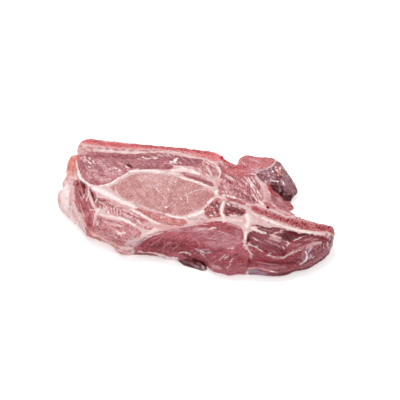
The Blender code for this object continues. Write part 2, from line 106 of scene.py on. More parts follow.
def cloud(points, size, seed, octaves=1):   # smooth noise of about -1 to 1, with lumps of this size
    total = np.zeros(len(points))
    for octave in range(octaves):
        p = points[:, :2] * (2 ** octave / size) + 37.3 * octave    # moved, so that octaves do not line up
        cell = np.floor(p).astype(np.int64)
        f = softStep(p - cell)
        corner = [scatter(cell[:, 0] + dx, cell[:, 1] + dy, seed + octave) for dy in (0, 1) for dx in (0, 1)]
        low = corner[0] + (corner[1] - corner[0]) * f[:, 0]
        high = corner[2] + (corner[3] - corner[2]) * f[:, 0]
        total += 0.5 ** octave * (2 * (low + (high - low) * f[:, 1]) - 1)
    return total


def grainCloud(points, length, width, angle, seed, octaves=1):     # noise drawn out along the fibres
    turn = math.radians(angle)
    along = points[:, 0] * math.cos(turn) + points[:, 1] * math.sin(turn)
    across = points[:, 1] * math.cos(turn) - points[:, 0] * math.sin(turn)
    return cloud(np.stack([along / length, across / width], 1), 1.0, seed, octaves)


def wander(points):                 # outlines are never quite smooth
    moved = points.copy()
    for number, (size, amount) in enumerate(zip(slab["rippleSize"], slab["ripple"])):
        for axis in (0, 1):
            moved[:, axis] += amount * cloud(points, size, 11 + 5 * number + axis)
    return moved


def smoothLine(points, step, closed=True):  # points about a step apart on a centripetal spline
    given = np.array(points, float)
    count = len(given)
    result = []
    for start in range(count if closed else count - 1):
        if closed:
            near = [given[(start + k) % count] for k in (-1, 0, 1, 2)]
        else:
            near = [given[min(max(start + k, 0), count - 1)] for k in (-1, 0, 1, 2)]
        knots = np.cumsum([0.0] + [max(math.dist(p[:2], q[:2]), 1e-6) ** 0.5 for p, q in zip(near, near[1:])])
        parts = max(1, round(math.dist(near[1][:2], near[2][:2]) / step))
        for part in range(parts):
            share = part / parts
            t = knots[1] + (knots[2] - knots[1]) * share
            level = near
            for reach in (1, 2):
                level = [level[k] + (level[k + 1] - level[k]) * (t - knots[k]) / (knots[k + reach] - knots[k])
                         for k in range(len(level) - 1)]
            point = level[0] + (level[1] - level[0]) * share
            point[2:] = near[1][2:] + (near[2][2:] - near[1][2:]) * share
            result.append(point)
    if not closed:
        result.append(given[-1])
    return np.array(result)


def anticlockwise(loop):
    after = np.roll(loop, -1, axis=0)
    return loop if (loop[:, 0] * after[:, 1] - loop[:, 1] * after[:, 0]).sum() > 0 else loop[::-1].copy()


def outward(loop):                  # the direction out of a loop at each of its points
    turn = np.roll(loop[:, :2], -1, axis=0) - np.roll(loop[:, :2], 1, axis=0)
    normal = np.stack([turn[:, 1], -turn[:, 0]], 1)
    return normal / (np.linalg.norm(normal, axis=1)[:, None] + 1e-9)


def makeFinder(loops):              # a search tree over closed loops
    line = np.concatenate(loops)
    tree = KDTree(len(line))
    for number, point in enumerate(line):
        tree.insert((point[0], point[1], 0), number)
    tree.balance()
    return tree


def nearestOn(tree, points):        # for each point: which of the tree's points is nearest, and how far
    found = [tree.find((x, y, 0)) for x, y in points[:, :2]]
    return np.array([f[1] for f in found], int), np.array([f[2] for f in found])


def nearestStroke(points, line):    # distance to an open line, and how far along it that is, from 0 to 1
    if len(line) == 1:
        return np.linalg.norm(points - line[0], axis=1), np.full(len(points), 0.5)
    starts = line[:-1]
    run = line[1:] - starts
    length = np.linalg.norm(run, axis=1)
    share = ((points[:, None, :] - starts) * run).sum(2) / (length ** 2 + 1e-9)
    share = np.clip(share, 0, 1)
    gap = np.linalg.norm(points[:, None, :] - (starts + share[:, :, None] * run), axis=2)
    best = gap.argmin(1)
    rows = np.arange(len(points))
    done = np.concatenate([[0], np.cumsum(length)])
    return gap[rows, best], (done[best] + share[rows, best] * length[best]) / done[-1]


# Each piece: how high it crowns, its colour, its grain (length, width, depth and angle of its fibres), how
# blotched it is and how ragged at the fat, what its material changes, its outline, and its marks. A mark is a
# stroke: its width, and the points it runs through.
featherBone = {
    "name": "sawn_feather_bone", "node": "feather_bone", "slot": "bone", "crown": 0.1, "colour": "#d2787b",
    "grain": (2, 0.8, 0.16, 0), "ragged": 0.35,
    "outline": [(-112, 66), (-110, 54.4), (-100, 53), (-80, 52.6), (-60, 52.8), (-40, 53.6), (-25, 53.8),
        (-12, 52.8), (0, 51.4), (8, 50), (13.4, 49.8), (15.6, 53), (17, 66)],
    "marks": {
        "paleHaze": [(2.2, -101, 59.4, -86, 59.4, -68, 59.8), (3.4, -107, 57, -104, 54.5),
            (1.4, -57, 53.8, -40, 54.6, -25, 55, -8, 54)],
        "core": [(2.6, -99, 56.6, -91, 56.4, -84, 55), (2.8, -84, 55.6, -70, 55.4, -61, 56),
            (3.6, -62, 57, -45, 57.4, -25, 58.6, -6, 58, 7, 55.8)],
        "blood": [(1, -42, 59.8, -30, 60.2), (1.4, -27, 60.4, -19, 60.6),
            (2.8, 13.4, 54, 16, 51.8, 19.4, 50.4), (1, -104, 60, -101, 59.8)],
        "marrowHole": [(1, -92, 56.8), (1, -87, 55), (1.2, -57.4, 56.4), (1.1, -52.6, 57.4),
            (1.2, -49.6, 57.8), (1, -45.4, 58.2), (1.3, -34.6, 57), (0.9, -31, 57.4), (1.2, -25.6, 56.8),
            (1.3, -20, 57), (1.1, -17, 57.6), (1, -10, 58.4), (1.3, -6, 57.6), (1.2, 0, 57.4),
            (1.1, 3.6, 56.2), (0.9, -41, 57.4), (1, -2.6, 55.8)],
    },
}

vertebra = {
    "name": "sawn_vertebra", "node": "vertebra", "slot": "bone", "crown": 0.1, "colour": "#bd7073",
    "grain": (0.8, 0.8, 0.12, 0), "ragged": 0.35, "look": {"holes": 0.65, "cellSize": 1.5, "contrast": 0.7},
    "outline": [(26, 66), (23.5, 53.5), (19, 51), (15.5, 47.5), (13.6, 44), (16.5, 40), (21.5, 35.8),
        (26.4, 32.6), (29.5, 34.6), (32.5, 38), (38, 40.4), (44, 42.4), (50, 46), (54.8, 50.6), (57.6, 56),
        (59, 66)],
    "marks": {
        "redder": [(1.4, 31, 59.2, 44, 59.2, 57, 58.8), (4, 22, 44, 29, 45.4, 36, 47),
            (1.6, 28.6, 55, 29.6, 58.4), (3, 30, 36.5, 34, 39.6)],
        "paleHaze": [(3, 22, 49.4, 27, 50.4), (2.6, 40, 44.4, 46, 46.6), (2, 15, 46.4, 20, 44),
            (2, 38, 55, 46, 53), (1.6, 30, 51, 35, 49.6)],
        "shade": [(1.5, 22, 46, 25, 43.6), (1.2, 13.4, 44.4, 20, 37.6, 28, 32.8)],
        "silver": [(1.5, 41, 42, 47.5, 44.8, 52, 47.4, 56.5, 52.6)],
        "blood": [(1.8, 16, 51.4, 20.6, 50)],
        "marrowHole": [(0.9, 41.6, 42), (0.7, 36, 52), (0.7, 45, 50.4), (0.7, 50, 54), (0.7, 33, 54)],
    },
}

ribBone = {
    "name": "sawn_rib", "node": "rib_bone", "slot": "bone", "crown": 0.1, "colour": "#b96569",
    "grain": (2.2, 0.9, 0.2, -12), "ragged": 0.35,
    "look": {"holes": 0.9, "cellSize": 1.4, "holeColour": "#5e1218"},
    "outline": [(43.6, 6.4), (46, 8), (51, 6.8), (57, 5.2), (63, 3), (69, 0.8), (76, -0.4), (80, 0),
        (84, 8), (112, 8), (118, -4), (114, -9.6), (106, -10.4), (98, -10.6), (90, -10.4), (83, -10),
        (76, -8.4), (69, -6.2), (62, -3.8), (55, -1.8), (48.5, 0.4), (44.5, 3)],
    "marks": {
        "redder": [(3, 46, 4.8, 52, 3, 58, 1), (3.2, 62, -1, 72, -3.6, 82, -5.6, 90, -7),
            (4, 97, -6.6, 103, -7, 108, -7.6)],
        "paleHaze": [(1.4, 54, 5.6, 64, 2.2, 72, 0, 80, -1, 92, -2.6, 106, -4.4),
            (1.2, 66, -5.6, 74, -7.8, 84, -9.8)],
        "tan": [(3.6, 92.4, -6.2, 93.4, -6.6)],
        "marrowHole": [(1.3, 56, 1.6, 56.8, 3), (0.9, 52.4, 1.2), (1.1, 62.4, -0.2, 63.4, 1),
            (1.2, 64.6, -2.6, 65.8, -0.8), (0.8, 60, 0.4), (1, 67.6, -3.6, 68.2, -2.4),
            (1.3, 73, -4.8, 74.4, -2.2), (1, 76.8, -3.6, 77.6, -2), (0.9, 79, -6, 79.6, -4.6),
            (1.2, 80.8, -6.2, 81.6, -4.6), (1, 83, -8, 83.6, -6.8), (1.1, 85, -5.2, 85.8, -3.6),
            (0.9, 85.4, -8.6), (1.1, 87.6, -6.6, 88, -5.2), (0.9, 89.8, -8), (1.1, 96.6, -5.6, 97.4, -4.2),
            (1.2, 98, -8, 99, -6.6), (1.3, 100.6, -8.6, 101.4, -7.2), (0.9, 103.4, -5, 104.2, -3.8),
            (1.4, 106, -6.4, 106.8, -5), (1.1, 103.6, -8.4), (0.9, 94.8, -4), (0.8, 48.4, 4.4),
            (0.8, 70.6, -1.4)],
    },
}

spinalis = {
    "name": "spinalis_lean", "node": "spinalis", "slot": "dark_lean", "crown": 0.5, "colour": "#a0565d",
    "grain": (2.6, 1.2, 0.16, 20), "blotch": 0.3, "look": {"contrast": 0.5, "fat": 0.5, "specks": 0.6},
    "outline": [(-101.6, 43), (-97, 45.4), (-88, 46), (-75, 46.4), (-62, 47.6), (-50, 49), (-42, 48),
        (-36, 46), (-31, 44.8), (-27, 43.4), (-23.6, 40.4), (-24, 37), (-29, 34.8), (-36, 34.4),
        (-45, 32.8), (-54, 31), (-60, 27.6), (-63, 23.4), (-68, 18.8), (-73, 14.4), (-78, 11.4),
        (-84, 10.2), (-90, 12.6), (-95.4, 17.4), (-98.6, 23), (-100.4, 29), (-102.4, 36)],
    "marks": {
        "shade": [(6, -98, 32, -95, 27), (2.6, -94, 41, -84, 41.4, -74, 42.4),
            (5, -72, 42, -60, 43.6, -50, 44.8), (4, -66, 37, -58, 38.4), (5, -56, 34, -46, 35, -37, 36),
            (3, -48, 47.4, -38, 47), (3.4, -29.4, 37.4, -26, 37.6), (2, -85, 31.6, -84, 31),
            (2.6, -88, 17, -80, 13), (1.4, -97, 46.8, -94, 46.4), (1.6, -101, 45.4), (2, -42, 44, -33, 43)],
        "redder": [(3, -92, 21, -84, 15, -76, 13), (3.4, -71, 16, -65, 20.4), (2, -87, 40, -80, 39.4),
            (2.6, -97, 36, -94, 39)],
        "paleHaze": [(4, -86, 36, -80, 31, -76, 26), (3.4, -74, 31, -66, 28),
            (4.4, -86, 21, -79, 16.6, -73, 17), (3.6, -78, 23.4, -70, 24.6, -64, 27),
            (2.4, -92, 21.4, -88, 17), (1.4, -100, 37, -96, 33), (1.2, -70, 37, -62, 32.6),
            (1.2, -82, 38, -76, 33.6), (1, -54, 42.6, -46, 42), (3.4, -101, 42, -97.4, 43.4),
            (2, -90, 25.4, -84, 25), (2.4, -79, 18, -72, 18.4)],
        "mauve": [(5, -88, 29.4, -82, 27.6), (4, -46, 41, -36, 41.4), (4, -64, 33, -58, 36),
            (4, -80, 36, -72, 37)],
        "strand": [(0.8, -92, 25, -88, 24, -84, 22, -81, 18.6, -79.6, 15),
            (0.8, -90, 30, -84, 24.6, -80, 22), (0.7, -80, 28, -75, 21), (0.7, -73, 27.4, -67, 21),
            (0.7, -66, 36, -58, 31.4), (0.7, -76, 36, -69, 31.4), (0.6, -84, 36, -78, 30),
            (0.7, -94, 29, -88, 21.4), (0.6, -69, 40.6, -62, 37.4), (0.6, -50, 40.6, -42, 37.4),
            (0.7, -87, 26.6, -82, 19.4), (0.8, -81, 18.5, -75, 21, -70, 22.6, -64, 24.4),
            (0.7, -57, 38.4, -50, 34.4), (0.7, -60, 37.2, -53, 33.2), (0.7, -54, 39.4, -46, 36),
            (0.7, -52, 49, -44, 48.4, -38, 46.4), (0.7, -96, 30.4, -92, 25), (0.7, -86, 33.4, -83, 29),
            (0.7, -68, 33, -62, 30), (0.8, -36, 42.6, -30.4, 42.4), (0.7, -100, 38.6, -97, 40.4),
            (0.8, -78, 30, -74, 25.6)],
        "fatLine": [(1.7, -93.2, 37.4, -92.6, 37), (1.3, -96.6, 35.4, -94, 34.6),
            (1.3, -93.4, 33.6, -90.6, 31.2), (1.8, -92, 28.8, -91, 27.6), (1, -89.6, 33.6, -88.2, 32.6),
            (1, -74.9, 29, -74, 27.4), (0.9, -70.6, 30.6, -69.4, 29.2), (1.3, -67.6, 28.4, -65.6, 27.8),
            (1.6, -61.8, 32.4, -60, 31.6), (1.1, -60.6, 30, -57.6, 28.8), (1.7, -50.4, 45.2, -49.4, 44.9),
            (0.9, -48.6, 44, -45.6, 43.7), (0.9, -44, 47.4, -41, 46.2, -38.2, 45.7),
            (1.1, -31.4, 41, -27, 41.6, -23.4, 39.8, -22.2, 37, -24.4, 34.8, -29, 33.8)],
        "slit": [(1.3, -61.4, 35.6, -59.4, 34.6, -57.4, 33.2)],
    },
}

upperMuscle = {
    "name": "rhomboid_lean", "node": "upper_muscle", "slot": "dark_lean", "crown": 0.3, "colour": "#964551",
    "grain": (5, 0.9, 0.16, -32), "look": {"contrast": 0.5, "fat": 0.5},
    "outline": [(-39, 51.4), (-33, 51.8), (-24, 51), (-15, 50.2), (-6, 49.8), (-1.2, 48.8), (-1.6, 46.6),
        (-7, 44.8), (-10, 42.6), (-15, 41.6), (-19.4, 42.4), (-23, 44.6), (-27, 46.8), (-33, 48.2)],
    "marks": {
        "shade": [(2.4, -36, 50.4, -30, 51.2, -24, 50.8), (3.2, -19, 46.8, -12, 47.2, -4, 46.6),
            (1.6, -24, 42)],
        "mauve": [(3, -12, 44.6, -6, 45)],
        "strand": [(0.8, -18, 48.6, -12, 45), (0.8, -12, 48.8, -7, 45.6)],
        "fatLine": [(1.1, -38, 50.4, -33.6, 47.8), (1, -34.6, 51.2, -29.6, 48.2),
            (0.9, -31, 51.6, -25.8, 47.4), (1.9, -21.8, 48.2, -24, 44.8, -21.6, 42.4),
            (1.3, -24.4, 43.6, -27.8, 43), (0.9, -20, 44, -17, 42.6)],
    },
}

deepBackMuscle = {
    "name": "deep_back_lean", "node": "deep_back_muscle", "slot": "pale_lean", "crown": 0.2,
    "colour": "#b06c70", "grain": (4, 1, 0.14, -40), "blotch": 0.25, "look": {"contrast": 0.5, "fat": 0.7},
    "outline": [(1.6, 48.6), (6, 46.4), (10.6, 42.8), (13.4, 38.4), (12.8, 34), (9.8, 32), (5.4, 33.4),
        (0.6, 34.8), (-4, 37), (-6, 40), (-4, 43), (-0.4, 45.4)],
    "marks": {
        "leanRed": [(1.7, -8, 42, -2, 42.6, 4, 41.2), (1.5, -2, 38.4, 3, 37.4, 6, 35.6),
            (1.5, 0, 45.8, 5, 44, 9.4, 41.2), (1.4, 8, 38.4, 10.6, 33.8), (1.4, 13.4, 37, 12.8, 33)],
        "fatLine": [(1.3, 2.6, 42.8, 6, 38, 9.6, 32.6), (1, -3, 40, 0, 36.6),
            (1.1, 1, 47.6, 6, 45.2, 11, 42.4, 13.8, 38), (1, 4, 34.6, 7.6, 32.6)],
    },
}

sliverMuscle = {
    "name": "sliver_lean", "node": "sliver_muscle", "slot": "dark_lean", "crown": -0.2, "colour": "#9a4a52",
    "grain": (5, 0.9, 0.14, -18),
    "outline": [(-10.6, 31.6), (-6, 31.4), (0, 30), (6, 27.8), (10.4, 25.4), (12.2, 23.8), (11, 22.8),
        (6, 24.8), (0, 27), (-5, 28.8), (-9.2, 30.2)],
    "marks": {
        "shade": [(1.8, -8.4, 30.8, -2, 29.4), (1.8, 2, 27.8, 9.4, 25)],
        "strand": [(0.7, -2, 30.6, 3, 28.6)],
    },
}

loinEye = {
    "name": "loin_eye_lean", "node": "loin_eye", "slot": "pale_lean", "crown": 0.9, "colour": "#b27876",
    "grain": (2.6, 1.5, 0.1, 60), "blotch": 0.28, "blotchSize": 7,
    "look": {"contrast": 0.26, "fat": 0.45, "threads": 4.2, "rim": 0.3, "specks": 0.63},
    "outline": [(-71, 10.2), (-67, 14), (-62.6, 18.6), (-58.4, 22.6), (-53.6, 26), (-48, 27.6), (-40, 28.9),
        (-31, 29.3), (-24, 28.8), (-17, 27.6), (-10, 26), (-3, 24.2), (4, 21.4), (9.4, 18.2), (13.2, 15),
        (12, 11.4), (9, 6.8), (6.6, 2.2), (2.6, -2.8), (-2.6, -6.2), (-8, -9.4), (-14, -10.8), (-20, -9.8),
        (-27, -8.4), (-34, -7.2), (-41, -5.2), (-48, -2.6), (-55, -0.2), (-61.6, 3), (-66.6, 6)],
    "marks": {
        "leanPink": [(9, -5, 1, 4, 9, 8, 13), (8, -62, 7, -46, 0, -26, -5, -10, -7), (6, -66, 10, -58, 14)],
        "paleHaze": [(8, -50, 22, -36, 25, -20, 25), (4, -40, 14, -30, 18)],
        "redder": [(0.8, -49, 8, -46.4, 4), (0.8, -41, 8, -39, 4.6, -37, 3), (0.8, -55, 6, -52, 1.6),
            (0.7, -44, 3, -42, 0), (0.7, -33, 5, -31, 1), (0.8, -58, 9, -56, 5)],
        "strand": [(0.7, -46, 10, -42, 4), (0.7, -52, 9, -48, 2), (0.7, -38, 11, -34, 5),
            (0.7, -30, 4, -27, -2), (0.7, -57, 11, -53, 4), (0.7, -43, 19, -39, 13),
            (0.7, -28, 22, -25, 16), (0.7, -20, 10, -17, 3), (0.7, -35, 2, -32, -4),
            (0.7, -14, 21, -10, 17)],
        "fatLine": [(0.8, -9.7, 10, -4.2, 14.3, -0.5, 16.3, 4.8, 18.5, 8.7, 19),
            (0.7, -8, 9.6, -7.2, 5.5, -6.5, 1.5), (0.9, -67, 11.5, -66, 8, -63, 4, -60.6, 2),
            (0.8, -36, 14.6, -33, 13, -31.4, 10), (1.1, -24.4, 14.6, -23.4, 13),
            (1.2, -20, 23, -19.4, 21.6), (0.9, -24.6, 21.4, -22, 20), (1.2, -44.8, 13.8, -44.2, 13.4),
            (1.3, -24, -4.6, -22.4, -4.4), (1.1, -21.6, -3.2), (1, -17, -2, -15.6, -0.6),
            (0.7, -28, 8, -25, 4), (0.8, -13.4, 7.4, -12, 5), (0.8, -47.6, 20.4, -46.6, 18)],
    },
}

multifidus = {
    "name": "multifidus_lean", "node": "multifidus", "slot": "dark_lean", "crown": 0.5, "colour": "#a3535a",
    "grain": (6, 1.1, 0.2, -62), "blotch": 0.3,
    "look": {"contrast": 0.6, "fat": 0.7, "threadColour": "#dcbcbc"},
    "outline": [(17.6, 14.4), (16.2, 19), (15.8, 25), (17.4, 30.4), (20, 34.2), (24, 31.2), (27.6, 30.6),
        (30.6, 33), (33.6, 36.4), (38.5, 38.4), (43, 37.4), (46, 33.6), (49.2, 28.5), (51.8, 23),
        (52.4, 17), (49.8, 11.8), (45.5, 9.8), (40, 10.2), (34.5, 12.2), (28, 13.8), (22, 13.4)],
    "marks": {
        "shade": [(5, 36, 15, 41, 13.6, 45, 12.6), (3, 27, 21, 33, 20), (1.6, 21, 31.4, 26, 29)],
        "leanRed": [(1.3, 33.6, 32, 38, 26, 42, 18), (1.4, 37, 34.4, 43, 25.6, 47, 17),
            (1.4, 41.6, 34, 47, 26.4, 50, 18), (1.6, 20, 30, 26, 27)],
        "paleHaze": [(4, 18, 24, 24, 22), (3, 20, 18, 27, 18), (4, 50.6, 28, 52, 18)],
        "fatLine": [(1.1, 35, 36, 40, 30, 43.4, 24.4, 46.5, 19, 50.5, 11.5),
            (1.2, 38, 35.6, 43.5, 27.8, 48, 21.6, 51, 16), (0.9, 32.5, 34, 38, 27),
            (0.9, 35.5, 21.5, 43, 14.5), (1.1, 43, 36.2, 47.5, 32.4, 51, 28), (0.8, 30, 31, 34, 25),
            (1.3, 19.5, 14.8, 25, 15, 31, 13.4, 36, 11.4), (0.8, 44, 18.6, 47.6, 12),
            (0.8, 40, 37, 45, 30)],
    },
}

roundLeft = {
    "name": "left_round_lean", "node": "round_muscle_left", "slot": "dark_lean", "crown": 0.5,
    "colour": "#a0403f", "grain": (1.8, 1.3, 0.2, 30),
    "look": {"contrast": 0.5, "specks": 0.61, "fat": 0.45, "threadColour": "#d8b4b4"},
    "outline": [(10.4, 4), (12.8, 8), (16, 10.2), (19.4, 9.6), (20.2, 5.4), (19.2, 1), (19.6, -3), (21, -7),
        (17, -8.8), (12, -9.8), (8.8, -6.5), (9, -1)],
    "marks": {
        "maroon": [(2.6, 13, 5.4, 13.6, 0.6), (3.4, 16.4, 7, 17.4, 3, 17.6, -2), (2.4, 12.6, -3.6, 16, -6),
            (1.6, 10.6, -2, 11, -7)],
        "fatLine": [(1.2, 12.6, -7.4, 15, -7), (1.1, 12.2, 1.8, 13.6, 1), (1.1, 16, 4.4, 17.2, 2.2),
            (1.2, 15, -3, 17, -4.4), (1, 11, 5), (1, 17.8, 8)],
    },
}

roundRight = {
    "name": "right_round_lean", "node": "round_muscle_right", "slot": "dark_lean", "crown": 0.5,
    "colour": "#842f35", "grain": (2.4, 1.3, 0.2, -15),
    "look": {"contrast": 0.4, "specks": 0.63, "fat": 0.35, "threadColour": "#cf9fa1"},
    "outline": [(24, 8.8), (29, 9.6), (34, 7.2), (38, 3.8), (40.6, -0.6), (38, -4.2), (33.5, -5.6),
        (28.5, -5), (24.8, -5.8), (23, -2.6), (22.6, 1), (23.4, 4.8)],
    "marks": {
        "paleHaze": [(4, 26, 8, 31, 7.6, 36, 5), (3, 30, -5, 36, -5)],
        "maroon": [(5, 26, 1.4, 31, 1, 37, -1.4), (2, 25, -3.6)],
        "fatLine": [(1.5, 24.2, 6.8, 26.6, 4.6), (1.3, 27.4, 8.6, 31, 6.6), (1.2, 29, 5, 32, 4.4),
            (1.2, 33, 7, 36, 5), (1.3, 27, -4.4, 33, -4.6), (1.1, 29.4, 4.8), (1.1, 34.4, 3.4, 36, 2.6),
            (1, 31, -2)],
    },
}

ribbonMuscle = {
    "name": "ribbon_lean", "node": "ribbon_muscle", "slot": "pale_lean", "crown": 0.4, "colour": "#b05e59",
    "grain": (6, 1, 0.14, -16), "look": {"contrast": 0.35, "fat": 0.5},
    "outline": [(-46.4, -5.4), (-41, -6.8), (-34, -8.9), (-27, -10.4), (-20, -12), (-14, -13.4),
        (-8, -13.8), (-4.4, -15.2), (-4, -18), (-8, -20.4), (-14, -21.2), (-21, -20.8), (-28, -19),
        (-35, -15.8), (-41, -12), (-46, -8.4)],
    "marks": {
        "paleHaze": [(3, -44, -6.4, -36, -8.4)],
        "redder": [(1.4, -26, -19.4, -18, -20.8, -9, -20.4), (1.4, -45, -9, -38, -12.4, -31, -16.4)],
        "strand": [(0.8, -42, -7, -33, -9.6, -25, -12.4, -17, -15), (0.8, -38, -9.6, -28, -12.8, -19, -16),
            (0.8, -34, -13.6, -27, -16.6)],
        "fatLine": [(1.4, -25.8, -14.4, -25, -14.8), (0.9, -12, -15, -10, -16.6)],
    },
}

bandMuscle = {
    "name": "band_lean", "node": "band_muscle", "slot": "pale_lean", "crown": 0.4, "colour": "#b26569",
    "grain": (3.4, 0.9, 0.18, 60), "blotch": 0.25, "look": {"contrast": 0.5, "fat": 0.7},
    "outline": [(-82.4, -0.2), (-78, -0.6), (-73, -1.8), (-67.5, -4.4), (-62, -7.2), (-55, -9.8),
        (-49, -11.6), (-44, -14), (-38, -17.2), (-33, -20.4), (-29.8, -23.8), (-31, -26.6), (-35.5, -27.4),
        (-42, -24.4), (-49, -20.6), (-56, -18.4), (-63, -17.2), (-68.5, -15.8), (-72.5, -12), (-76.5, -8),
        (-80.5, -4)],
    "marks": {
        "maroon": [(2.6, -79.4, -1.6, -76.6, -4.6, -74, -8), (1.6, -74.4, -10, -71.6, -13.6)],
        "deepLean": [(3, -74, -4, -66, -8, -60, -11), (2.4, -58, -16, -50, -18.6, -45, -20.6)],
        "leanRed": [(1.4, -76, -3.4, -70, -6.4, -64, -9.4), (0.8, -65.4, -10, -63.6, -15.6),
            (0.8, -62.6, -11, -61.4, -16.4), (0.8, -60, -11.4, -59, -16.6),
            (1.2, -56, -12.4, -50, -15, -44, -18), (1.2, -52, -18, -46, -20.8),
            (1.2, -46, -15.6, -40, -19, -36, -22.4)],
        "fatLine": [(1.8, -72.5, -11, -70, -12.6, -68, -14), (1.5, -68, -14.4, -67, -17),
            (0.8, -77, -5.4, -71, -9, -69, -13), (0.7, -66.4, -9.4, -64.6, -15),
            (0.7, -64, -10, -62.4, -16), (0.7, -61.4, -11, -60.2, -17), (0.7, -58.4, -12, -57.6, -16.6),
            (0.9, -70, -5, -63, -8.4, -60, -11), (1, -57.4, -10.6, -50, -13.4, -43, -16.6),
            (0.9, -45.7, -18.2, -40.2, -22.5, -34, -25.6), (0.9, -55, -15.6, -48, -17.6)],
        "paleHaze": [(4, -37, -22, -31, -24.6), (2.4, -54, -17, -47, -19.4)],
    },
}

outerBand = {
    "name": "outer_band_lean", "node": "outer_band_muscle", "slot": "dark_lean", "crown": 0.6,
    "colour": "#ae595d", "grain": (8, 1.3, 0.2, -58), "blotch": 0.2, "look": {"contrast": 0.5, "fat": 0.4},
    "outline": [(-101, 13.4), (-98.4, 14.2), (-95, 11.4), (-91, 6.5), (-87.8, 1), (-84.8, -4.5),
        (-81, -9.8), (-78, -15.2), (-77.4, -21), (-77, -27), (-77, -33), (-79, -37), (-82, -31.4),
        (-84.6, -26), (-88, -21.2), (-91, -16), (-94, -11), (-96.6, -5), (-98.4, 2), (-100, 8)],
    "marks": {
        "paleHaze": [(2.4, -100.4, 6, -99, -2, -97, -8), (2, -87.6, -18, -85.6, -24)],
        "deepLean": [(4, -97, 6, -94, -3, -91, -11), (4, -88, -9, -85, -18), (3, -81.6, -20, -80, -30)],
        "shade": [(2.4, -97.4, 9.6), (2, -97, 4, -93.6, -3), (3, -88, -10, -84, -17),
            (4, -81.6, -22, -79.4, -29)],
        "redder": [(4, -92, -6, -87, -15), (3.4, -82, -24, -80, -32), (2, -87.6, -23, -86, -24)],
        "mauve": [(3, -92, -12, -89, -18), (3, -83.6, -8, -80.6, -13)],
        "slit": [(2, -95, 12, -92.6, 9, -91, 5.6, -89.8, 2.4), (1.4, -97.9, 9.2)],
        "strand": [(0.8, -94, 0, -91.4, -5, -89, -8.4), (0.8, -86, -9, -82.6, -14),
            (0.8, -90, -14, -87, -20), (0.8, -92.6, -8, -90, -13)],
        "fatLine": [(1, -88.2, 7, -86.8, -0.5, -87, -6), (0.8, -88.4, 1, -87.4, -7),
            (0.9, -83, -6.5, -79.6, -9, -77, -8.6), (1.1, -85.6, -26.4, -82.6, -32.4),
            (0.8, -88.6, -21.6, -86, -26)],
    },
}

cornerMuscle = {
    "name": "corner_lean", "node": "corner_muscle", "slot": "pale_lean", "crown": 0.3, "colour": "#d9b9b8",
    "grain": (4, 1.6, 0.14, -40), "look": {"contrast": 0.25, "fat": 0.5},
    "outline": [(-97, -11), (-94, -15), (-90.4, -20), (-86.4, -26), (-83, -32), (-81, -37), (-88, -42),
        (-100, -30), (-106, -18), (-101, -12)],
    "marks": {
        "blush": [(5, -95, -22, -91, -27), (3, -90, -30, -87, -33)],
        "redder": [(1, -96, -18, -95, -21), (1.2, -88, -23.4, -87, -24), (0.9, -90, -27, -88.4, -31.6)],
        # painted shadow along the foot of the near side
        "edgeShadow": [(2, -91, -32.4, -86, -36, -81.4, -38.6)],
        "paleHaze": [(3, -100, -17, -97, -20)],
    },
}

lowerLeft = {
    "name": "lower_left_lean", "node": "lower_left_muscle", "slot": "pale_lean", "crown": 0.6,
    "colour": "#b0656a", "grain": (4.5, 1.2, 0.2, -25), "blotch": 0.3,
    "look": {"contrast": 0.5, "fat": 0.75, "threads": 2.6, "specks": 0.64},
    "outline": [(-75.4, -19.6), (-70, -20.4), (-64, -21.4), (-57, -22.4), (-50, -24), (-44, -26.6),
        (-39.6, -29.4), (-37.4, -31.8), (-39.8, -34.8), (-44, -37.6), (-48, -40.4), (-50, -48), (-60, -50),
        (-70, -46), (-74.4, -40), (-75, -31), (-75.4, -25)],
    "marks": {
        "shade": [(3.4, -74.6, -21, -72.6, -25, -71, -29), (1.8, -66.4, -29.6, -62, -33.4),
            (1.6, -74.4, -30, -72.6, -33), (1.6, -57, -37, -54, -39)],
        "redder": [(3, -70, -37, -64, -38, -60, -40), (4, -61, -42, -55, -43, -49, -46),
            (3, -68, -33, -62, -35.4)],
        "paleHaze": [(3, -66, -26, -56, -27.6), (3, -58, -33, -52, -35), (3, -47, -36, -42, -38),
            (3, -56, -52, -48, -53), (2.4, -49, -44, -45, -47)],
        "leanRed": [(1, -64, -24, -56, -25, -48, -27), (1, -60, -28.6, -52, -30, -44, -32.6),
            (1.2, -52, -38, -46, -41)],
        "strand": [(0.8, -68, -22.6, -60, -23.6, -52, -25.6), (0.8, -62, -26.6, -54, -28.4, -46, -30.4),
            (0.8, -66, -31, -58, -32), (0.8, -50, -32.6, -43, -35)],
        "fatLine": [(1, -57.6, -32.6, -53, -36.6), (0.9, -54.6, -35, -50, -33.4),
            (1.1, -48, -30, -46.4, -30.8), (1, -59, -38, -57, -40), (0.9, -50.6, -40, -47, -42),
            (1.2, -44, -38.6, -41.6, -40), (1.3, -75.4, -38, -71, -41, -66, -44.4, -61.5, -46.5),
            (1, -65.6, -36, -63, -37), (1, -74.4, -25, -73.4, -29)],
        "slit": [(1, -60.4, -42.6, -56.6, -43.6)],
        # painted shadow along the foot of the near side
        "edgeShadow": [(1.8, -80.5, -37.5, -76, -41.4, -72.4, -43.4), (1.4, -71, -45.6, -67.4, -46.4)],
    },
}

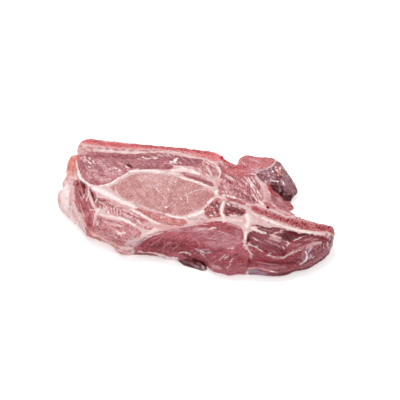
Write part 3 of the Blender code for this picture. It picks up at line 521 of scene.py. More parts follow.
lowerCentre = {
    "name": "lower_centre_lean", "node": "lower_centre_muscle", "slot": "dark_lean", "crown": 0.8,
    "colour": "#953b47", "grain": (7, 1, 0.24, 38), "blotch": 0.22,
    "look": {"contrast": 0.5, "fat": 0.4, "threads": 2.4, "juice": 0.45},
    "outline": [(-43, -41.6), (-38.4, -38), (-33, -34), (-27.2, -30.2), (-20, -26.6), (-12, -23.4),
        (-3, -20.8), (8, -17.4), (18, -14.2), (25, -12.6), (31.5, -12.2), (36.4, -14), (39.6, -18.5),
        (41, -24), (41.2, -29.4), (43, -33), (46.4, -36), (48, -39), (46.4, -43), (44, -52), (20, -56),
        (0, -50), (-40, -48)],
    "marks": {
        # paler mauve over the middle: a painted sheen of the wet surface over the lean
        "mauveSheen": [(8, 4, -25, 14, -27, 28, -28, 38, -29), (4, -12, -26, -4, -24, 6, -22),
            (5, 14, -35, 24, -34, 34, -34), (4, 36, -20, 38, -26)],
        "mauve": [(1.4, 14, -31, 22, -30, 30, -31, 36, -34), (1.2, 2, -27, 10, -29.6),
            (1.6, 20, -38, 28, -36), (1.2, 24, -24, 32, -22.6)],
        "crumb": [(1.4, -36, -49.6, -24, -49, -14, -51.4)],
        "deepRed": [(5, -34, -42, -26, -40, -18, -36), (5, -36, -46, -26, -46, -16, -44, -6, -41),
            (4, -14, -38, -4, -36), (2, 10, -20.6, 22, -18.8, 32, -18.4),
            (8, -33, -43.6, -20, -42, -6, -40, 4, -38), (6, -26, -46, -10, -46, 0, -43),
            (4, -16, -36, -4, -36), (4, 6, -43, 14, -47, 20, -50)],
        "shade": [(2.4, -32, -44.6, -22, -43, -12, -42), (2, -14, -46.4, -5, -44.4),
            (1.6, -26, -38, -18, -35), (3, -28, -44, -20, -43), (3, -12, -41, -4, -40),
            (2.4, 12, -46, 18, -42, 28, -40), (2, 24, -18.6, 30, -17), (1, 0, -44, 4, -47.6, 9, -50.6),
            (3, 33, -47, 38, -43)],
        "redder": [(3, 6, -19.4, 18, -16.2, 30, -15.4), (2.4, -30, -48.4, -20, -48.6),
            (4, 18, -50, 26, -48), (3, 38, -50, 44, -46)],
        "paleHaze": [(3, 2, -22.6, 12, -21), (2, -18, -27, -10, -24.4), (2.4, 20, -56, 26, -58)],
        "leanRed": [(1, -8, -27.6, 4, -26, 16, -27), (1, 10, -31, 22, -31.6, 34, -31),
            (0.9, 14, -24.6, 26, -26)],
        "strand": [(0.8, -26, -40, -22, -35.6), (0.8, -20, -44, -14, -37.6), (0.8, -12, -45, -7, -39),
            (0.8, -30, -44, -27, -40.4), (0.8, 7.5, -23, 19.5, -21.8, 30, -24), (0.8, 21.5, -21.5, 30, -25),
            (0.8, 2, -31.5, 5.5, -33.5, 9, -38.5), (0.8, 18, -50, 22, -45.6), (0.8, 20, -54, 26, -47),
            (0.8, 14, -30, 26, -30, 38, -31.6)],
        "silver": [(1.6, -46.5, -49.5, -43.6, -46.6, -40.5, -43.5, -36.5, -39, -32.5, -35.4),
            (2, -41, -42.4)],
        "fatLine": [(1.2, -33, -35.4, -27.5, -31.6, -21.5, -29.2), (1.6, 14.6, -20, 18.8, -19),
            (1.2, 12, -21.6, 17, -21), (0.9, 9.5, -45, 13, -48.5), (0.9, 29.5, -43.5, 25, -50),
            (0.9, 34, -52.5, 31.5, -57), (0.9, 32, -44, 28.6, -48), (0.8, 36, -46, 33, -50.6),
            (1, 41.4, -33, 44.6, -36.4), (0.8, 30, -38, 35, -36.4)],
        # painted sheen: a pale bluish reflection of the wet surface
        "sheen": [(1.2, 5.5, -41.5, 9, -43.4, 13, -45, 18.5, -42.5), (1, 11, -41.4, 16, -41)],
        "paleEdge": [(1.8, -39.5, -50.5, -33, -50.5, -27, -50),
            (3.6, -26, -50.8, -20, -53, -15, -54.4, -9, -53.4), (1.3, -6.5, -47.4, -2, -46.2, 2, -47.6)],
        # painted shadow along the foot of the near side
        "edgeShadow": [(1.4, -44, -51.8, -36, -52.4, -30, -52.4), (1.3, -22, -53.8, -16, -55.4)],
        "slit": [(1.3, 48.6, -42.6, 48.2, -48)],
    },
}

underRib = {
    "name": "under_rib_lean", "node": "under_rib_muscle", "slot": "dark_lean", "crown": -0.6,
    "colour": "#702630", "grain": (3, 1, 0.2, -10), "look": {"contrast": 0.5, "fat": 0.25},
    "outline": [(49.8, -11.4), (55, -11.8), (61, -12.6), (66, -12.8), (69.6, -12.6), (67.4, -15),
        (63.5, -16.6), (57.5, -15.8), (52.5, -14.2)],
    "marks": {
        "shade": [(2, 53, -12.6, 58, -14), (1.4, 67, -13.4, 69, -13)],
        "strand": [(0.8, 54, -14.6, 62, -15.6)],
        "fatLine": [(0.8, 51.6, -12, 53, -13.6)],
        "leanRed": [(2, 60, -14.4, 66, -15)],
    },
}

recessedMuscle = {
    "name": "recessed_lean", "node": "recessed_muscle", "slot": "dark_lean", "crown": -1.2,
    "colour": "#52202a", "grain": (4, 1.2, 0.24, -8),
    "look": {"contrast": 0.4, "fat": 0.15, "marbling": 0.1, "rim": 0},
    "outline": [(65.4, -18.4), (68.8, -16), (71.6, -13.4), (77, -13.2), (83, -13.8), (89, -13.8),
        (94, -13.4), (90, -15.6), (85.5, -18.2), (80.5, -20), (76.4, -21.6), (71.5, -20.6)],
    "marks": {
        "mauvePink": [(3, 66, -17.6, 69.6, -15.4, 72, -14.4)],
        "shade": [(4, 74, -16, 86, -16.4)],
        "mauve": [(1.2, 72, -14, 80, -14.6)],
        "leanRed": [(2.4, 66.4, -18.4, 70.6, -17.6), (1.6, 80, -19.6, 86, -18)],
        "slit": [(1.2, 90, -14.6, 94.6, -14.2)],
    },
}

flankMuscle = {
    "name": "flank_lean", "node": "flank_muscle", "slot": "dark_lean", "crown": -0.5, "colour": "#742735",
    "grain": (6, 1.2, 0.26, -24), "blotch": 0.2, "look": {"contrast": 0.45, "fat": 0.3, "rim": 0},
    "outline": [(44.6, -19.8), (49, -17.8), (55, -18.6), (61, -20), (65.5, -21.8), (71, -23.6),
        (75.4, -25.4), (74.2, -29), (74, -33), (72, -35.6), (67, -36.4), (61.5, -35.2), (56.5, -33),
        (51, -31), (45.8, -29.4), (43.6, -26.4), (44.6, -23)],
    "marks": {
        # painted shade at the flank's left end, along its lower groove and in its pocket
        "shade": [(4, 46, -21, 46, -28), (4, 58, -31, 68, -32.6), (2, 50, -27.6, 55, -30.4),
            (3, 71.4, -33, 73.6, -36.6)],
        "leanRed": [(6, 52, -20.6, 60, -22.6, 64, -24)],
        "mauve": [(3, 58, -27, 66, -28)],
        "paleHaze": [(3, 62, -22.4, 69, -24)],
        "strand": [(0.9, 51, -25, 56, -28.6), (0.8, 48, -23.6, 53, -26), (0.7, 66, -27, 70, -30),
            (0.7, 58, -24.6, 63, -27)],
        "fatLine": [(0.8, 72, -29.6, 74, -31), (0.8, 62, -37, 64, -38)],
        "slit": [(1, 47, -29.6, 50, -31), (1, 59, -34.6, 61, -35.6)],
    },
}

ribEndMuscle = {
    "name": "rib_end_lean", "node": "rib_end_muscle", "slot": "dark_lean", "crown": 0.4,
    "colour": "#80303a", "grain": (7, 1, 0.24, 32), "blotch": 0.2,
    "look": {"contrast": 0.5, "fat": 0.25, "rim": 0},
    "outline": [(78.6, -25), (83, -21.8), (88.5, -18.2), (94.5, -15.6), (101, -14.4), (104.6, -15.4),
        (104.4, -18), (100, -19.6), (95.4, -20.8), (91, -23.6), (86.5, -26.6), (81, -29.4), (77, -31.8),
        (76.2, -28.6)],
    "marks": {
        "shade": [(1.4, 84.3, -24, 90, -21), (1.8, 90, -17.6, 95, -16), (2.4, 99, -16.4, 104, -17)],
        "strand": [(0.8, 80, -28, 86, -24.6), (0.8, 88, -21, 94, -18), (0.7, 94, -20, 99, -18)],
        "redder": [(2, 78, -29, 82, -26)],
    },
}

silverFlap = {
    "name": "silverskin_flap", "node": "silver_flap", "slot": "membrane", "crown": 0.9, "colour": "#8c5460",
    "grain": (6, 1.4, 0.2, 62), "blotch": 0.3,
    "look": {"contrast": 0.4, "fat": 0.3, "threadColour": "#c9b2c4", "juice": 0.7, "roughness": 0.32},
    "outline": [(93.4, -24.2), (96.6, -21.4), (100.4, -20.8), (102.2, -22.8), (100.8, -26), (96.8, -29.8),
        (91.6, -33.4), (87.4, -35.4), (87.6, -32.2), (89.2, -28.8)],
    "marks": {
        "paleHaze": [(3, 92.6, -26, 95, -23.4, 99, -22.4)],
        "tan": [(1.6, 91.4, -25, 94.6, -22.6)],
        "shade": [(2.6, 94, -33, 97, -29)],
        "deepRed": [(3.4, 94.4, -36, 96.4, -31, 99, -27), (2.4, 100, -27, 102, -24.6)],
        "silver": [(1, 93, -31, 94.6, -27.6)],
        "fatLine": [(1.3, 92, -23.4, 97, -21.6, 101, -21.6, 102, -24.4), (1, 90, -29, 91.4, -26.4)],
        # painted sheen: a pale bluish reflection on the wet membrane
        "sheen": [(1.4, 95, -34.5, 94.3, -38), (1.2, 92.4, -32.6, 93.4, -30)],
    },
}

bellyMuscle = {
    "name": "belly_lean", "node": "belly_muscle", "slot": "dark_lean", "crown": 0.5, "colour": "#822231",
    "grain": (9, 1.4, 0.24, 12), "blotch": 0.22, "look": {"contrast": 0.45, "fat": 0.25, "rim": 0},
    "outline": [(50.4, -37.6), (55.6, -36), (61.4, -38), (67.5, -39), (73.4, -38), (76.8, -34.4),
        (81.4, -31.8), (85.2, -29.4), (87.2, -29), (86.2, -31.6), (85.6, -35), (86, -38), (90, -50),
        (60, -60), (44, -56), (46.4, -50), (48.6, -43)],
    "marks": {
        # dark streaks, and painted shade low on the near side
        "shade": [(2, 60, -45.6, 70, -46, 80, -44), (2, 50, -42.6, 56, -43),
            (3.4, 66, -50, 72, -50.4, 78, -49)],
        "leanRed": [(2.6, 54, -39, 64, -41, 74, -41.6), (2.4, 78, -40, 86, -36)],
        "paleHaze": [(1.4, 76, -37, 80.3, -33, 84.5, -30.5, 90, -29.5), (2, 66, -41, 74, -40.4)],
        "mauvePink": [(3, 56, -50.6, 66, -51, 76, -50), (4, 86, -42, 88, -38)],
        "strand": [(0.8, 52, -47, 62, -48, 74, -46.6), (0.8, 60, -39.6, 70, -40.4),
            (0.8, 78, -37, 84, -33.4)],
        "pinkLip": [(1.7, 42.5, -58, 46, -54.8, 54, -53, 63.5, -54.2, 70.5, -55.5)],
        # silver skin low on the near side, darkened with painted shade and tinted by a painted bluish
        # reflection
        "silverInShade": [(4, 44.6, -60, 49, -57.4, 55, -57, 60, -58.6)],
        "mauve": [(3, 60, -58, 66, -58.6, 74, -58)],
        # painted sheen: a pale bluish reflection of the wet surface
        "sheen": [(1, 65, -54.4, 68.4, -55.2)],
        "slit": [(1.2, 48.6, -42.6, 48.2, -48)],
        # painted shadow along the foot of the near side
        "edgeShadow": [(2.4, 72, -58, 80, -55.4, 90, -49.4)],
    },
}

ribTipMuscle = {
    "name": "rib_tip_lean", "node": "rib_tip_muscle", "slot": "dark_lean", "crown": 0.4,
    "colour": "#71373f", "grain": (5, 1.4, 0.24, 50), "blotch": 0.2,
    "look": {"contrast": 0.4, "fat": 0.3, "rim": 0.1},
    "outline": [(106.4, -12.6), (106, -15.4), (105.8, -18.4), (104.2, -22), (102.8, -26), (98.4, -31),
        (93, -34.8), (88, -37), (88.4, -46), (112, -38), (122, -20), (117, -12.6)],
    "marks": {
        "paleHaze": [(1.6, 106, -13, 108.4, -17), (1.2, 106.4, -23.4, 108.6, -27.4)],
        "tan": [(1.4, 102.4, -25, 104, -22)],
        "leanRed": [(4, 92, -48, 100, -43, 107, -36)],
        "fatLine": [(1, 101.3, -22, 103, -24.6, 104, -27), (0.9, 106, -20, 107, -24)],
        # painted shade low on the right end's near side
        "shade": [(6, 93, -44, 99, -39.6, 103, -35.6)],
        "mauve": [(3, 96, -36, 100, -31), (3, 99, -40, 102.4, -36)],
        # painted shadow along the foot of the near side
        "edgeShadow": [(2.4, 90, -49, 98, -44, 106, -35)],
    },
}

# the wall of the chest falls with this slope from its crest, as far as its foot
chestLining = {
    "name": "chest_lining_membrane", "node": "chest_lining", "slot": "membrane", "crown": 0, "slope": 1.05,
    "thinEdge": 1.6, "foot": 33,
    "crest": [(53.5, 35), (56.5, 27), (57.5, 19), (59, 12.5), (64, 9), (70, 7), (78, 5.4)],
    "colour": "#a4545a", "grain": (6, 2.4, 0.14, -40), "blotch": 0.2,
    "look": {"contrast": 0.35, "fat": 0.25, "juice": 0.6, "roughness": 0.32, "rim": 0.1},
    "outline": [(54.4, 32), (55, 26), (55.4, 20), (54.6, 14.5), (53, 10.6), (57, 8), (63, 5.2), (69, 2.8),
        (76, 1.4), (80, 3), (86, 10), (86, 25), (82, 30.4), (75, 30.8), (71.8, 30), (67, 28.8), (63, 28.5),
        (59, 29), (56.2, 31)],
    "marks": {
        "paleHaze": [(4, 54.6, 24, 55, 18, 57, 13), (3, 64, 6.4, 70, 4.4, 75, 3),
            (2.4, 63.8, 18.4, 66.6, 14.4), (2, 59.4, 13, 62, 10)],
        "redder": [(4.6, 66, 15, 70, 13.2, 74.6, 11.6), (3, 73, 14, 76, 12.6), (2.6, 58.6, 18, 61, 15),
            (3, 69, 15.4, 72, 13)],
        "blood": [(2, 54.4, 30, 55.8, 27, 57.6, 24.4, 59.4, 21.6), (1.4, 59.4, 21.6, 62, 20, 64, 18.8),
            (3.8, 72.6, 12.4, 75.4, 10.8, 78.4, 10.2), (2, 73.6, 8, 76, 7.6)],
        "deepRed": [(2.4, 70.6, 13.6, 73, 12.2), (1.8, 61, 16.8, 62.6, 14.6)],
        "leanRed": [(2.4, 59.6, 19, 62, 16.6), (1.6, 67, 10.4, 71, 8.6)],
        "mauvePink": [(2.4, 61.6, 11.6, 66, 9, 70, 7.4)],
        "strand": [(0.8, 63, 14.4, 66.4, 11.4, 69, 10.4), (0.7, 57.4, 20, 59, 16), (0.8, 66, 16, 69, 13.4)],
        "fatLine": [(0.9, 56.6, 23, 57.6, 19.6), (0.8, 60.4, 10.6, 63.4, 8.8)],
    },
}

# the neck falls away to the right, and is rounded in rows of points where it meets the chest
neckMuscle = {
    "name": "neck_lean", "node": "neck_muscle", "slot": "weathered_lean", "crown": 0.5, "fallsFrom": 58,
    "fall": 10, "fallLength": 22, "roundedBy": 4.5, "colour": "#7c4851", "grain": (3.6, 1.4, 0.3, -50),
    "blotch": 0.35,
    "look": {"contrast": 0.5, "fat": 0.5, "threadColour": "#c3a0a5", "rim": 0.1, "juice": 0.5},
    "footFrom": (56.8, 33.5), "rows": 14,
    "outline": [(61, 66), (59.8, 57), (57, 51.4), (52.4, 46.8), (47, 43.4), (46.4, 40.6), (49, 37.6),
        (53, 35.2), (56.6, 32.4), (59.4, 30.4), (63, 29.7), (67, 30), (71.6, 31.2), (74.6, 32), (90, 36),
        (88, 60)],
    "marks": {
        "greyHaze": [(3.4, 49.4, 42.4, 54, 44), (3.4, 66.4, 42.6, 68, 41, 69, 38.6),
            (2.4, 65, 47.4, 66.6, 45), (1.8, 66, 34.4, 68.4, 31)],
        "mauve": [(3.6, 69.4, 38.4, 72.4, 33.6, 75.2, 29.4), (2, 55, 49, 56.6, 47)],
        "leanRed": [(2.4, 48.4, 41.6, 51, 40), (2.6, 53, 38.4, 56, 37.4), (2, 56, 42.4, 57, 40.6),
            (2.4, 58.6, 45.6, 59.4, 43.6), (2.4, 60.6, 38.4, 63, 36.8), (2, 63.6, 41.4, 64.6, 39),
            (1.4, 57.6, 51, 57.8, 48.6), (2.4, 57.6, 31.6, 60.6, 29.4), (2, 76.6, 26.4, 78.4, 28)],
        "shade": [(1.4, 47.6, 40.8, 50.4, 38.8, 53, 36.8), (1.2, 47.6, 37.6, 51, 35.4),
            (1, 63, 45.6, 63.6, 44), (1.2, 63.4, 40, 64, 37), (2.2, 56.2, 31.4, 58.4, 28.4)],
        "redder": [(1.4, 60.4, 47.6, 61.4, 45.8), (1.2, 64, 47, 64.4, 45.4), (1.6, 59, 29.6, 61, 28),
            (1, 59.8, 50.6, 60.4, 48.8)],
        "salmon": [(2.4, 61.4, 47.8, 62, 45.4, 62.6, 43), (1.4, 61.2, 50.4, 62.6, 49.2),
            (1.2, 64.6, 43.4, 65, 42)],
        "strand": [(1, 50, 41.6, 52, 40.4), (1, 54.4, 41.4, 55.6, 40), (1, 57.6, 38.6, 59.4, 38),
            (0.8, 65, 38, 66.4, 36), (0.8, 68, 36, 69.4, 33.6), (0.8, 71.6, 31, 73, 28),
            (0.8, 74, 26.4, 75, 24.6)],
        "fatLine": [(1.4, 58.7, 50.6, 59.2, 49), (1.6, 60.6, 46.4, 61, 44.4), (1.3, 62.6, 49.6, 63.2, 47.6),
            (1.1, 59, 48, 59.4, 46), (1.6, 52.2, 34, 53.6, 32.6), (1.4, 56.6, 34.4, 59.4, 34.4, 62.6, 34.8),
            (1, 54.4, 39.6), (1.2, 56.6, 44.6, 57.4, 43.4), (1, 53.4, 42.6, 54.4, 42),
            (1, 61.6, 42, 62.4, 40.6), (1.2, 65, 36.6, 66.4, 34.6), (1, 66.6, 33.8, 68, 31.6),
            (1.3, 64.2, 27.8, 65, 24.6), (0.9, 50.4, 38.4), (0.9, 58.2, 41.4), (0.9, 60, 40.4),
            (0.8, 56, 36.6, 57, 35.6), (1, 61.8, 32.6, 62.6, 30.8)],
        # painted shadow, near black, in the folds where the neck overhangs the chest
        "nearBlack": [(1.6, 61.2, 33, 62.6, 29, 64.2, 24.6, 65, 22.6),
            (1.4, 65.4, 30, 66.8, 26.6, 68.2, 23.4), (1, 58.6, 33, 60, 30.6, 61.6, 28.4),
            (3, 66, 24, 69, 23.4)],
        "deepRed": [(2.4, 71, 25, 72.6, 23), (1.6, 75.6, 22, 77.6, 25)],
        "silver": [(1.4, 56.4, 54.4, 57.2, 51.4), (1.2, 63.4, 52, 65.4, 49)],
        "tan": [(1.4, 75, 35, 76, 33.6)],
    },
}

fatWeb = {
    "name": "seam_fat_and_fat_cap", "node": "fat_and_seams", "slot": "fat", "crown": 0, "colour": "#cdabaa",
    "grain": (3, 2, 0.12, -20), "blotch": 0.1,
    "marks": {
        "blush": [(5, -104, 52, -104, 46, -103, 42), (3, -100, 49.6, -94, 49, -88, 50),
            (3, -78, 50.6, -66, 51), (2, -40, 50.6, -30, 52.6, -20, 52.2), (3, -92, 9, -85, 3, -78, 1.4),
            (2.4, -70, -3, -60, -6.4, -50, -9.4), (5, -19, 37, -12, 34), (5, -4, 33, 4, 31),
            (3, 14, 30, 15, 24), (4, -30, -23, -20, -24, -8, -21.4), (3, 4, -16.4, 16, -13, 28, -10.6),
            (3, 40, -6, 44, -12), (3, 30, -9, 38, -8), (4, 18, 11, 28, 11, 38, 8),
            (4, 54, 30, 53, 20, 51, 12), (3, 62, -6.6, 76, -10, 92, -11.6, 104, -12),
            (2, -101, 4, -100.6, -8, -98.6, -14)],
        "rosy": [(4, 44, -31.6, 54, -34.6, 64, -38.4, 73, -37.4), (4, 75, -34, 82, -31, 90, -25, 95, -22),
            (3.4, 77, -23.6, 84, -20, 92, -15.4), (3, 104.4, -16, 103, -24, 99, -31, 90, -36.4),
            (2.6, 50, -16, 58, -17.4, 64, -17.4), (3, 86.6, -31, 86.6, -38, 88, -46),
            (3, -78, -24, -76.4, -32, -77.6, -38), (3, 46, -38, 48, -46, 44, -56), (3, 50, -36, 58, -38.4),
            (2, 105.4, -12, 105.2, -16), (3, -44, -46, -48, -52), (2.4, -82, -34, -80, -38)],
        "salmon": [(8, -109.6, 39, -109, 30, -108.4, 21), (6, -104.4, 39, -103.6, 32, -102.6, 25),
            (3.4, -111, 17, -107.4, 14), (2.4, -112, 10, -112.6, 4), (3, -111.6, -4, -110, -10),
            (2.4, -105.4, 22, -102.6, 17), (2, -98, -38, -94, -40)],
        "capRed": [(2.4, -112, 36, -111, 30, -111.4, 24), (1.6, -112.6, 14, -111, 9),
            (3, -109.6, 38.6, -108.6, 33, -109.4, 27), (3.4, -104, 37, -103, 32),
            (2.4, -106.6, 29, -104.6, 24), (1.6, -110.4, 21, -108.4, 17)],
        "redder": [(3.4, -102.6, 39.6, -101.6, 34), (2.4, -108, 36, -105.4, 34, -103.6, 29),
            (3, -110, 28, -108, 23), (2, -105, 25, -102.6, 19),
            (1.3, -104.5, 28, -101, 21, -97.4, 15, -95, 12.4), (1.4, -106.6, 19.2, -106, 18.6),
            (1.2, -102, 14, -101.2, 13.4), (1.2, -109.6, 17), (1, -104.4, 9)],
        "leanDot": [(1.6, -101.4, 47.2, -98.6, 46.6), (1.7, -97.4, 49.4, -93, 49),
            (1.6, -94, 46.6, -92.6, 46.4), (1.5, -88, 49.8, -85, 49.6), (2, -82, 50.4, -79.4, 50.3),
            (2.2, -76, 50.5, -72, 50.4), (1.7, -68.6, 50.8, -66, 50.8), (1.6, -62, 51.2, -59, 51.4),
            (1.3, -55, 51.8, -50, 52, -46, 52.4), (1.5, -43, 53.4, -40.6, 53),
            (1.2, -104, 50, -102.6, 49.4), (1.2, -5, 45.6, 0, 44), (1.2, 46.6, -13, 48.4, -12),
            (1.3, 58.6, -7.8, 59.6, -7.2), (1.6, 40.6, 6.6, 41.8, 5.4), (1.1, -104, 14),
            (1.1, -107, 7, -106.4, 6.4), (1, -100.6, 8)],
        "tan": [(3.4, 60, -20.4, 66, -21.6, 71, -22.6)],
        "strand": [(0.9, -103.5, 34, -102, 29, -97.6, 21.4, -94.5, 13),
            (0.8, -44, 51.4, -36, 53.2, -22, 53.8, -14, 51.6, -5, 50.2)],
        "seamWhite": [(9, -107, 7, -105.6, -6, -102, -16), (5, -101, -19, -96, -27)],
        "cream": [(3, -97.6, 22, -93.6, 14.6, -88.6, 11), (6, -82, 7.6, -74, 4.4, -66, 0.6),
            (4, -64, -1.4, -54, -4.6, -47, -7.4), (1.4, -60, 25.4, -66, 20.6, -72, 13, -80, 10),
            (2.4, -58, 28.6, -50, 30.8, -40, 32), (3, -26, 31.6, -18, 31.6),
            (1.6, -16.5, 28.4, -8, 26.4, 1, 24.5, 9, 21.5), (3, 14.8, 18.4, 14.8, 15.6),
            (1.6, 12, 10, 9, 4.4, 7, 0), (3, 7, -2, 3, -6.4, -4, -10),
            (2.4, -18, -11.8, -8, -12.6, 0, -13.6), (2, 19, -11.4, 28, -9.6, 38, -8.4),
            (1.5, 21.5, 7.6, 21, 3.5, 21, 0, 21.6, -4, 24, -8), (4, 41, -2, 43, -8, 42, -14),
            (2, 42.6, -20, 42.6, -26), (1.6, -58, 45, -66, 46.4), (2, 53.5, -3.5, 62, -6.4, 69, -8.6),
            (2, 74, -9.6, 83, -11.4, 101.5, -13),
            (1.6, -74, -18, -66, -18.8, -58, -20, -50.5, -22.6, -45, -25.4), (2.4, -76, -13, -77, -18),
            (1.2, -50.3, -9.6, -45, -12, -39.5, -14.6, -31, -19, -26, -21),
            (4, -108, 2, -106, -6, -102, -14), (3, -56, 48.6, -48, 50.4),
            (1.6, 17.4, 12, 24, 12.4, 30, 12.6), (1.6, 46, 1, 50, -3), (2, -34, -28, -28, -26.6),
            (1.2, -36, -32.4, -29, -29.4)],
        "leanRed": [(1.6, -92.4, 12, -89.4, 7.6, -87.4, 3), (1.2, -4, -13.2, 0, -12.6, 3, -12),
            (1, 5.5, -11, 9.5, -12.7), (1.2, 8, -15.6, 18, -12.8), (1.6, -84, 1.6, -82.4, -3)],
        "slit": [(1.7, -84.6, 3.6, -82.8, -0.8, -80.4, -4.8), (1.6, -95, 12.4, -92.6, 9)],
        "blood": [(2.4, 14, 53.5, 16.5, 51.2, 19.4, 50.2), (2.6, 56.4, 7.9, 57.2, 7)],
        "hole": [(1.4, 56.4, 8.4, 57.2, 7)],
        "silver": [(2.2, 51, 5.6, 54, 5)],
        "closed": [(3, -99.4, 36, -99, 28, -96, 21, -92, 15.6), (5, -36, 47, -30, 46, -24, 46.4),
            (4, -22, 42, -12, 43.6, -3, 43.4), (4, -50, 47.6, -40, 48.6),
            (5, -16, 32.6, -8, 31, 2, 28, 9, 24.6), (4, 14, 46, 16.4, 40, 17, 33),
            (3, 3, 47.6, 10, 45, 14, 40, 14.6, 34), (3, 20, 40, 26, 34, 30, 32.4),
            (4, 46, 40, 50, 36, 54, 33), (4, 30, 32, 36, 36.6, 42, 37.6),
            (4, -93, 9, -90, 2, -86, -6, -83, -14), (3.4, -82.6, 3, -80, -4, -77, -10),
            (2.6, 24, 12.6, 32, 10.6, 38, 8.6), (2, 8, 4, 8, -2), (5, 48, -33, 58, -36, 68, -38, 74, -36),
            (5, 74, -32, 80, -28, 88, -22, 96, -20), (4, 72, -22, 78, -22, 86, -18, 94, -15.6),
            (4, 98, -16.6, 104, -18, 104.6, -26, 98, -34), (4, 95, -34, 92, -40, 88, -46),
            (3, 90, -28, 88, -34, 87.6, -42), (3, 52, -15.6, 60, -17, 68, -16),
            (7, 88, -46, 96, -42.6, 102, -38, 107, -31), (7, 86, -52, 96, -49, 104, -43, 110, -33),
            (5, 80, -53, 88, -49), (3, 62, -14, 66, -13), (2.4, 46, -36, 50, -39),
            (3, 44, -40, 47, -48, 45, -58), (3, 86.4, -32, 86.6, -40, 90, -50), (2, 78, -24, 84, -21),
            (2, 104.4, -19, 102.6, -25), (3, -76.6, -28, -76.4, -36, -78, -42),
            (2, -84, -32, -81, -38, -80, -42), (2.4, -46, -45, -50, -52), (2, 74, -29, 76, -32),
            (2, 75, -36, 80, -33), (1.6, 64, -17.6, 70, -19), (2, -97, -8, -94.4, -14),
            (1.4, -5, 46.6, -2, 45.6), (1.4, 12, -15, 22, -12.6)],
    },
}

# the dark scrap of muscle that hangs from the near side and lies at the foot of the slice; its dark colour is
# partly painted shade from the slice above it
hangingScrap = {
    "name": "hanging_scrap_lean", "node": "hanging_scrap", "slot": "weathered_lean", "height": 4.6,
    "edge": 1.2, "slope": 3, "step": 0.7, "colour": "#5f3034", "grain": (4, 1.2, 0.3, -20),
    "look": {"contrast": 0.5, "fat": 0.2, "threadColour": "#7d4a4c", "rim": 0, "juice": 0.6},
    "lumps": (4, 0.8), "thinnest": 0.6, "seam": 9,
    "outline": [(-9, -38), (-8.4, -39.8), (-5.4, -40.8), (-3.4, -43.6), (1.6, -43.4), (5.4, -45),
        (9, -46.4), (13.6, -46.8), (15.4, -45), (12.6, -41), (11, -38)],
    "marks": {
        # painted shadow along the scrap's top, where the slice overhangs it
        "nearBlack": [(2.6, -8, -38.6, -2, -38.4, 5, -39.4, 11, -40), (1.2, 6, -41.4, 11, -43.4, 13.6, -45),
            (1, -6.6, -40.6, -3, -41.6)],
        "shade": [(2, -4, -40.6, 3, -41.6, 9, -43), (1.4, 0, -43, 6, -44)],
        "pinkTan": [(1.5, 11.4, -45.8, 13.6, -46.2), (1, -6.4, -39.8, -4.6, -40.4)],
        "strand": [(0.9, -3.4, -42.6, 1, -43, 5, -44.4), (0.9, 5.4, -44.8, 9.4, -46),
            (0.7, -1, -40.6, 3, -41), (0.8, -5.4, -40.4, -3.4, -41.6), (0.7, 7, -42.6, 10, -44)],
        # painted highlights of the wet surface
        "glint": [(0.5, 12, -45.4, 13, -45.6), (0.4, -2.4, -42.4), (0.4, 6.6, -45)],
        "leanRed": [(1.6, -2, -42.2, 3, -42.8), (1.2, 14, -45.2, 14.6, -44.4)],
    },
}
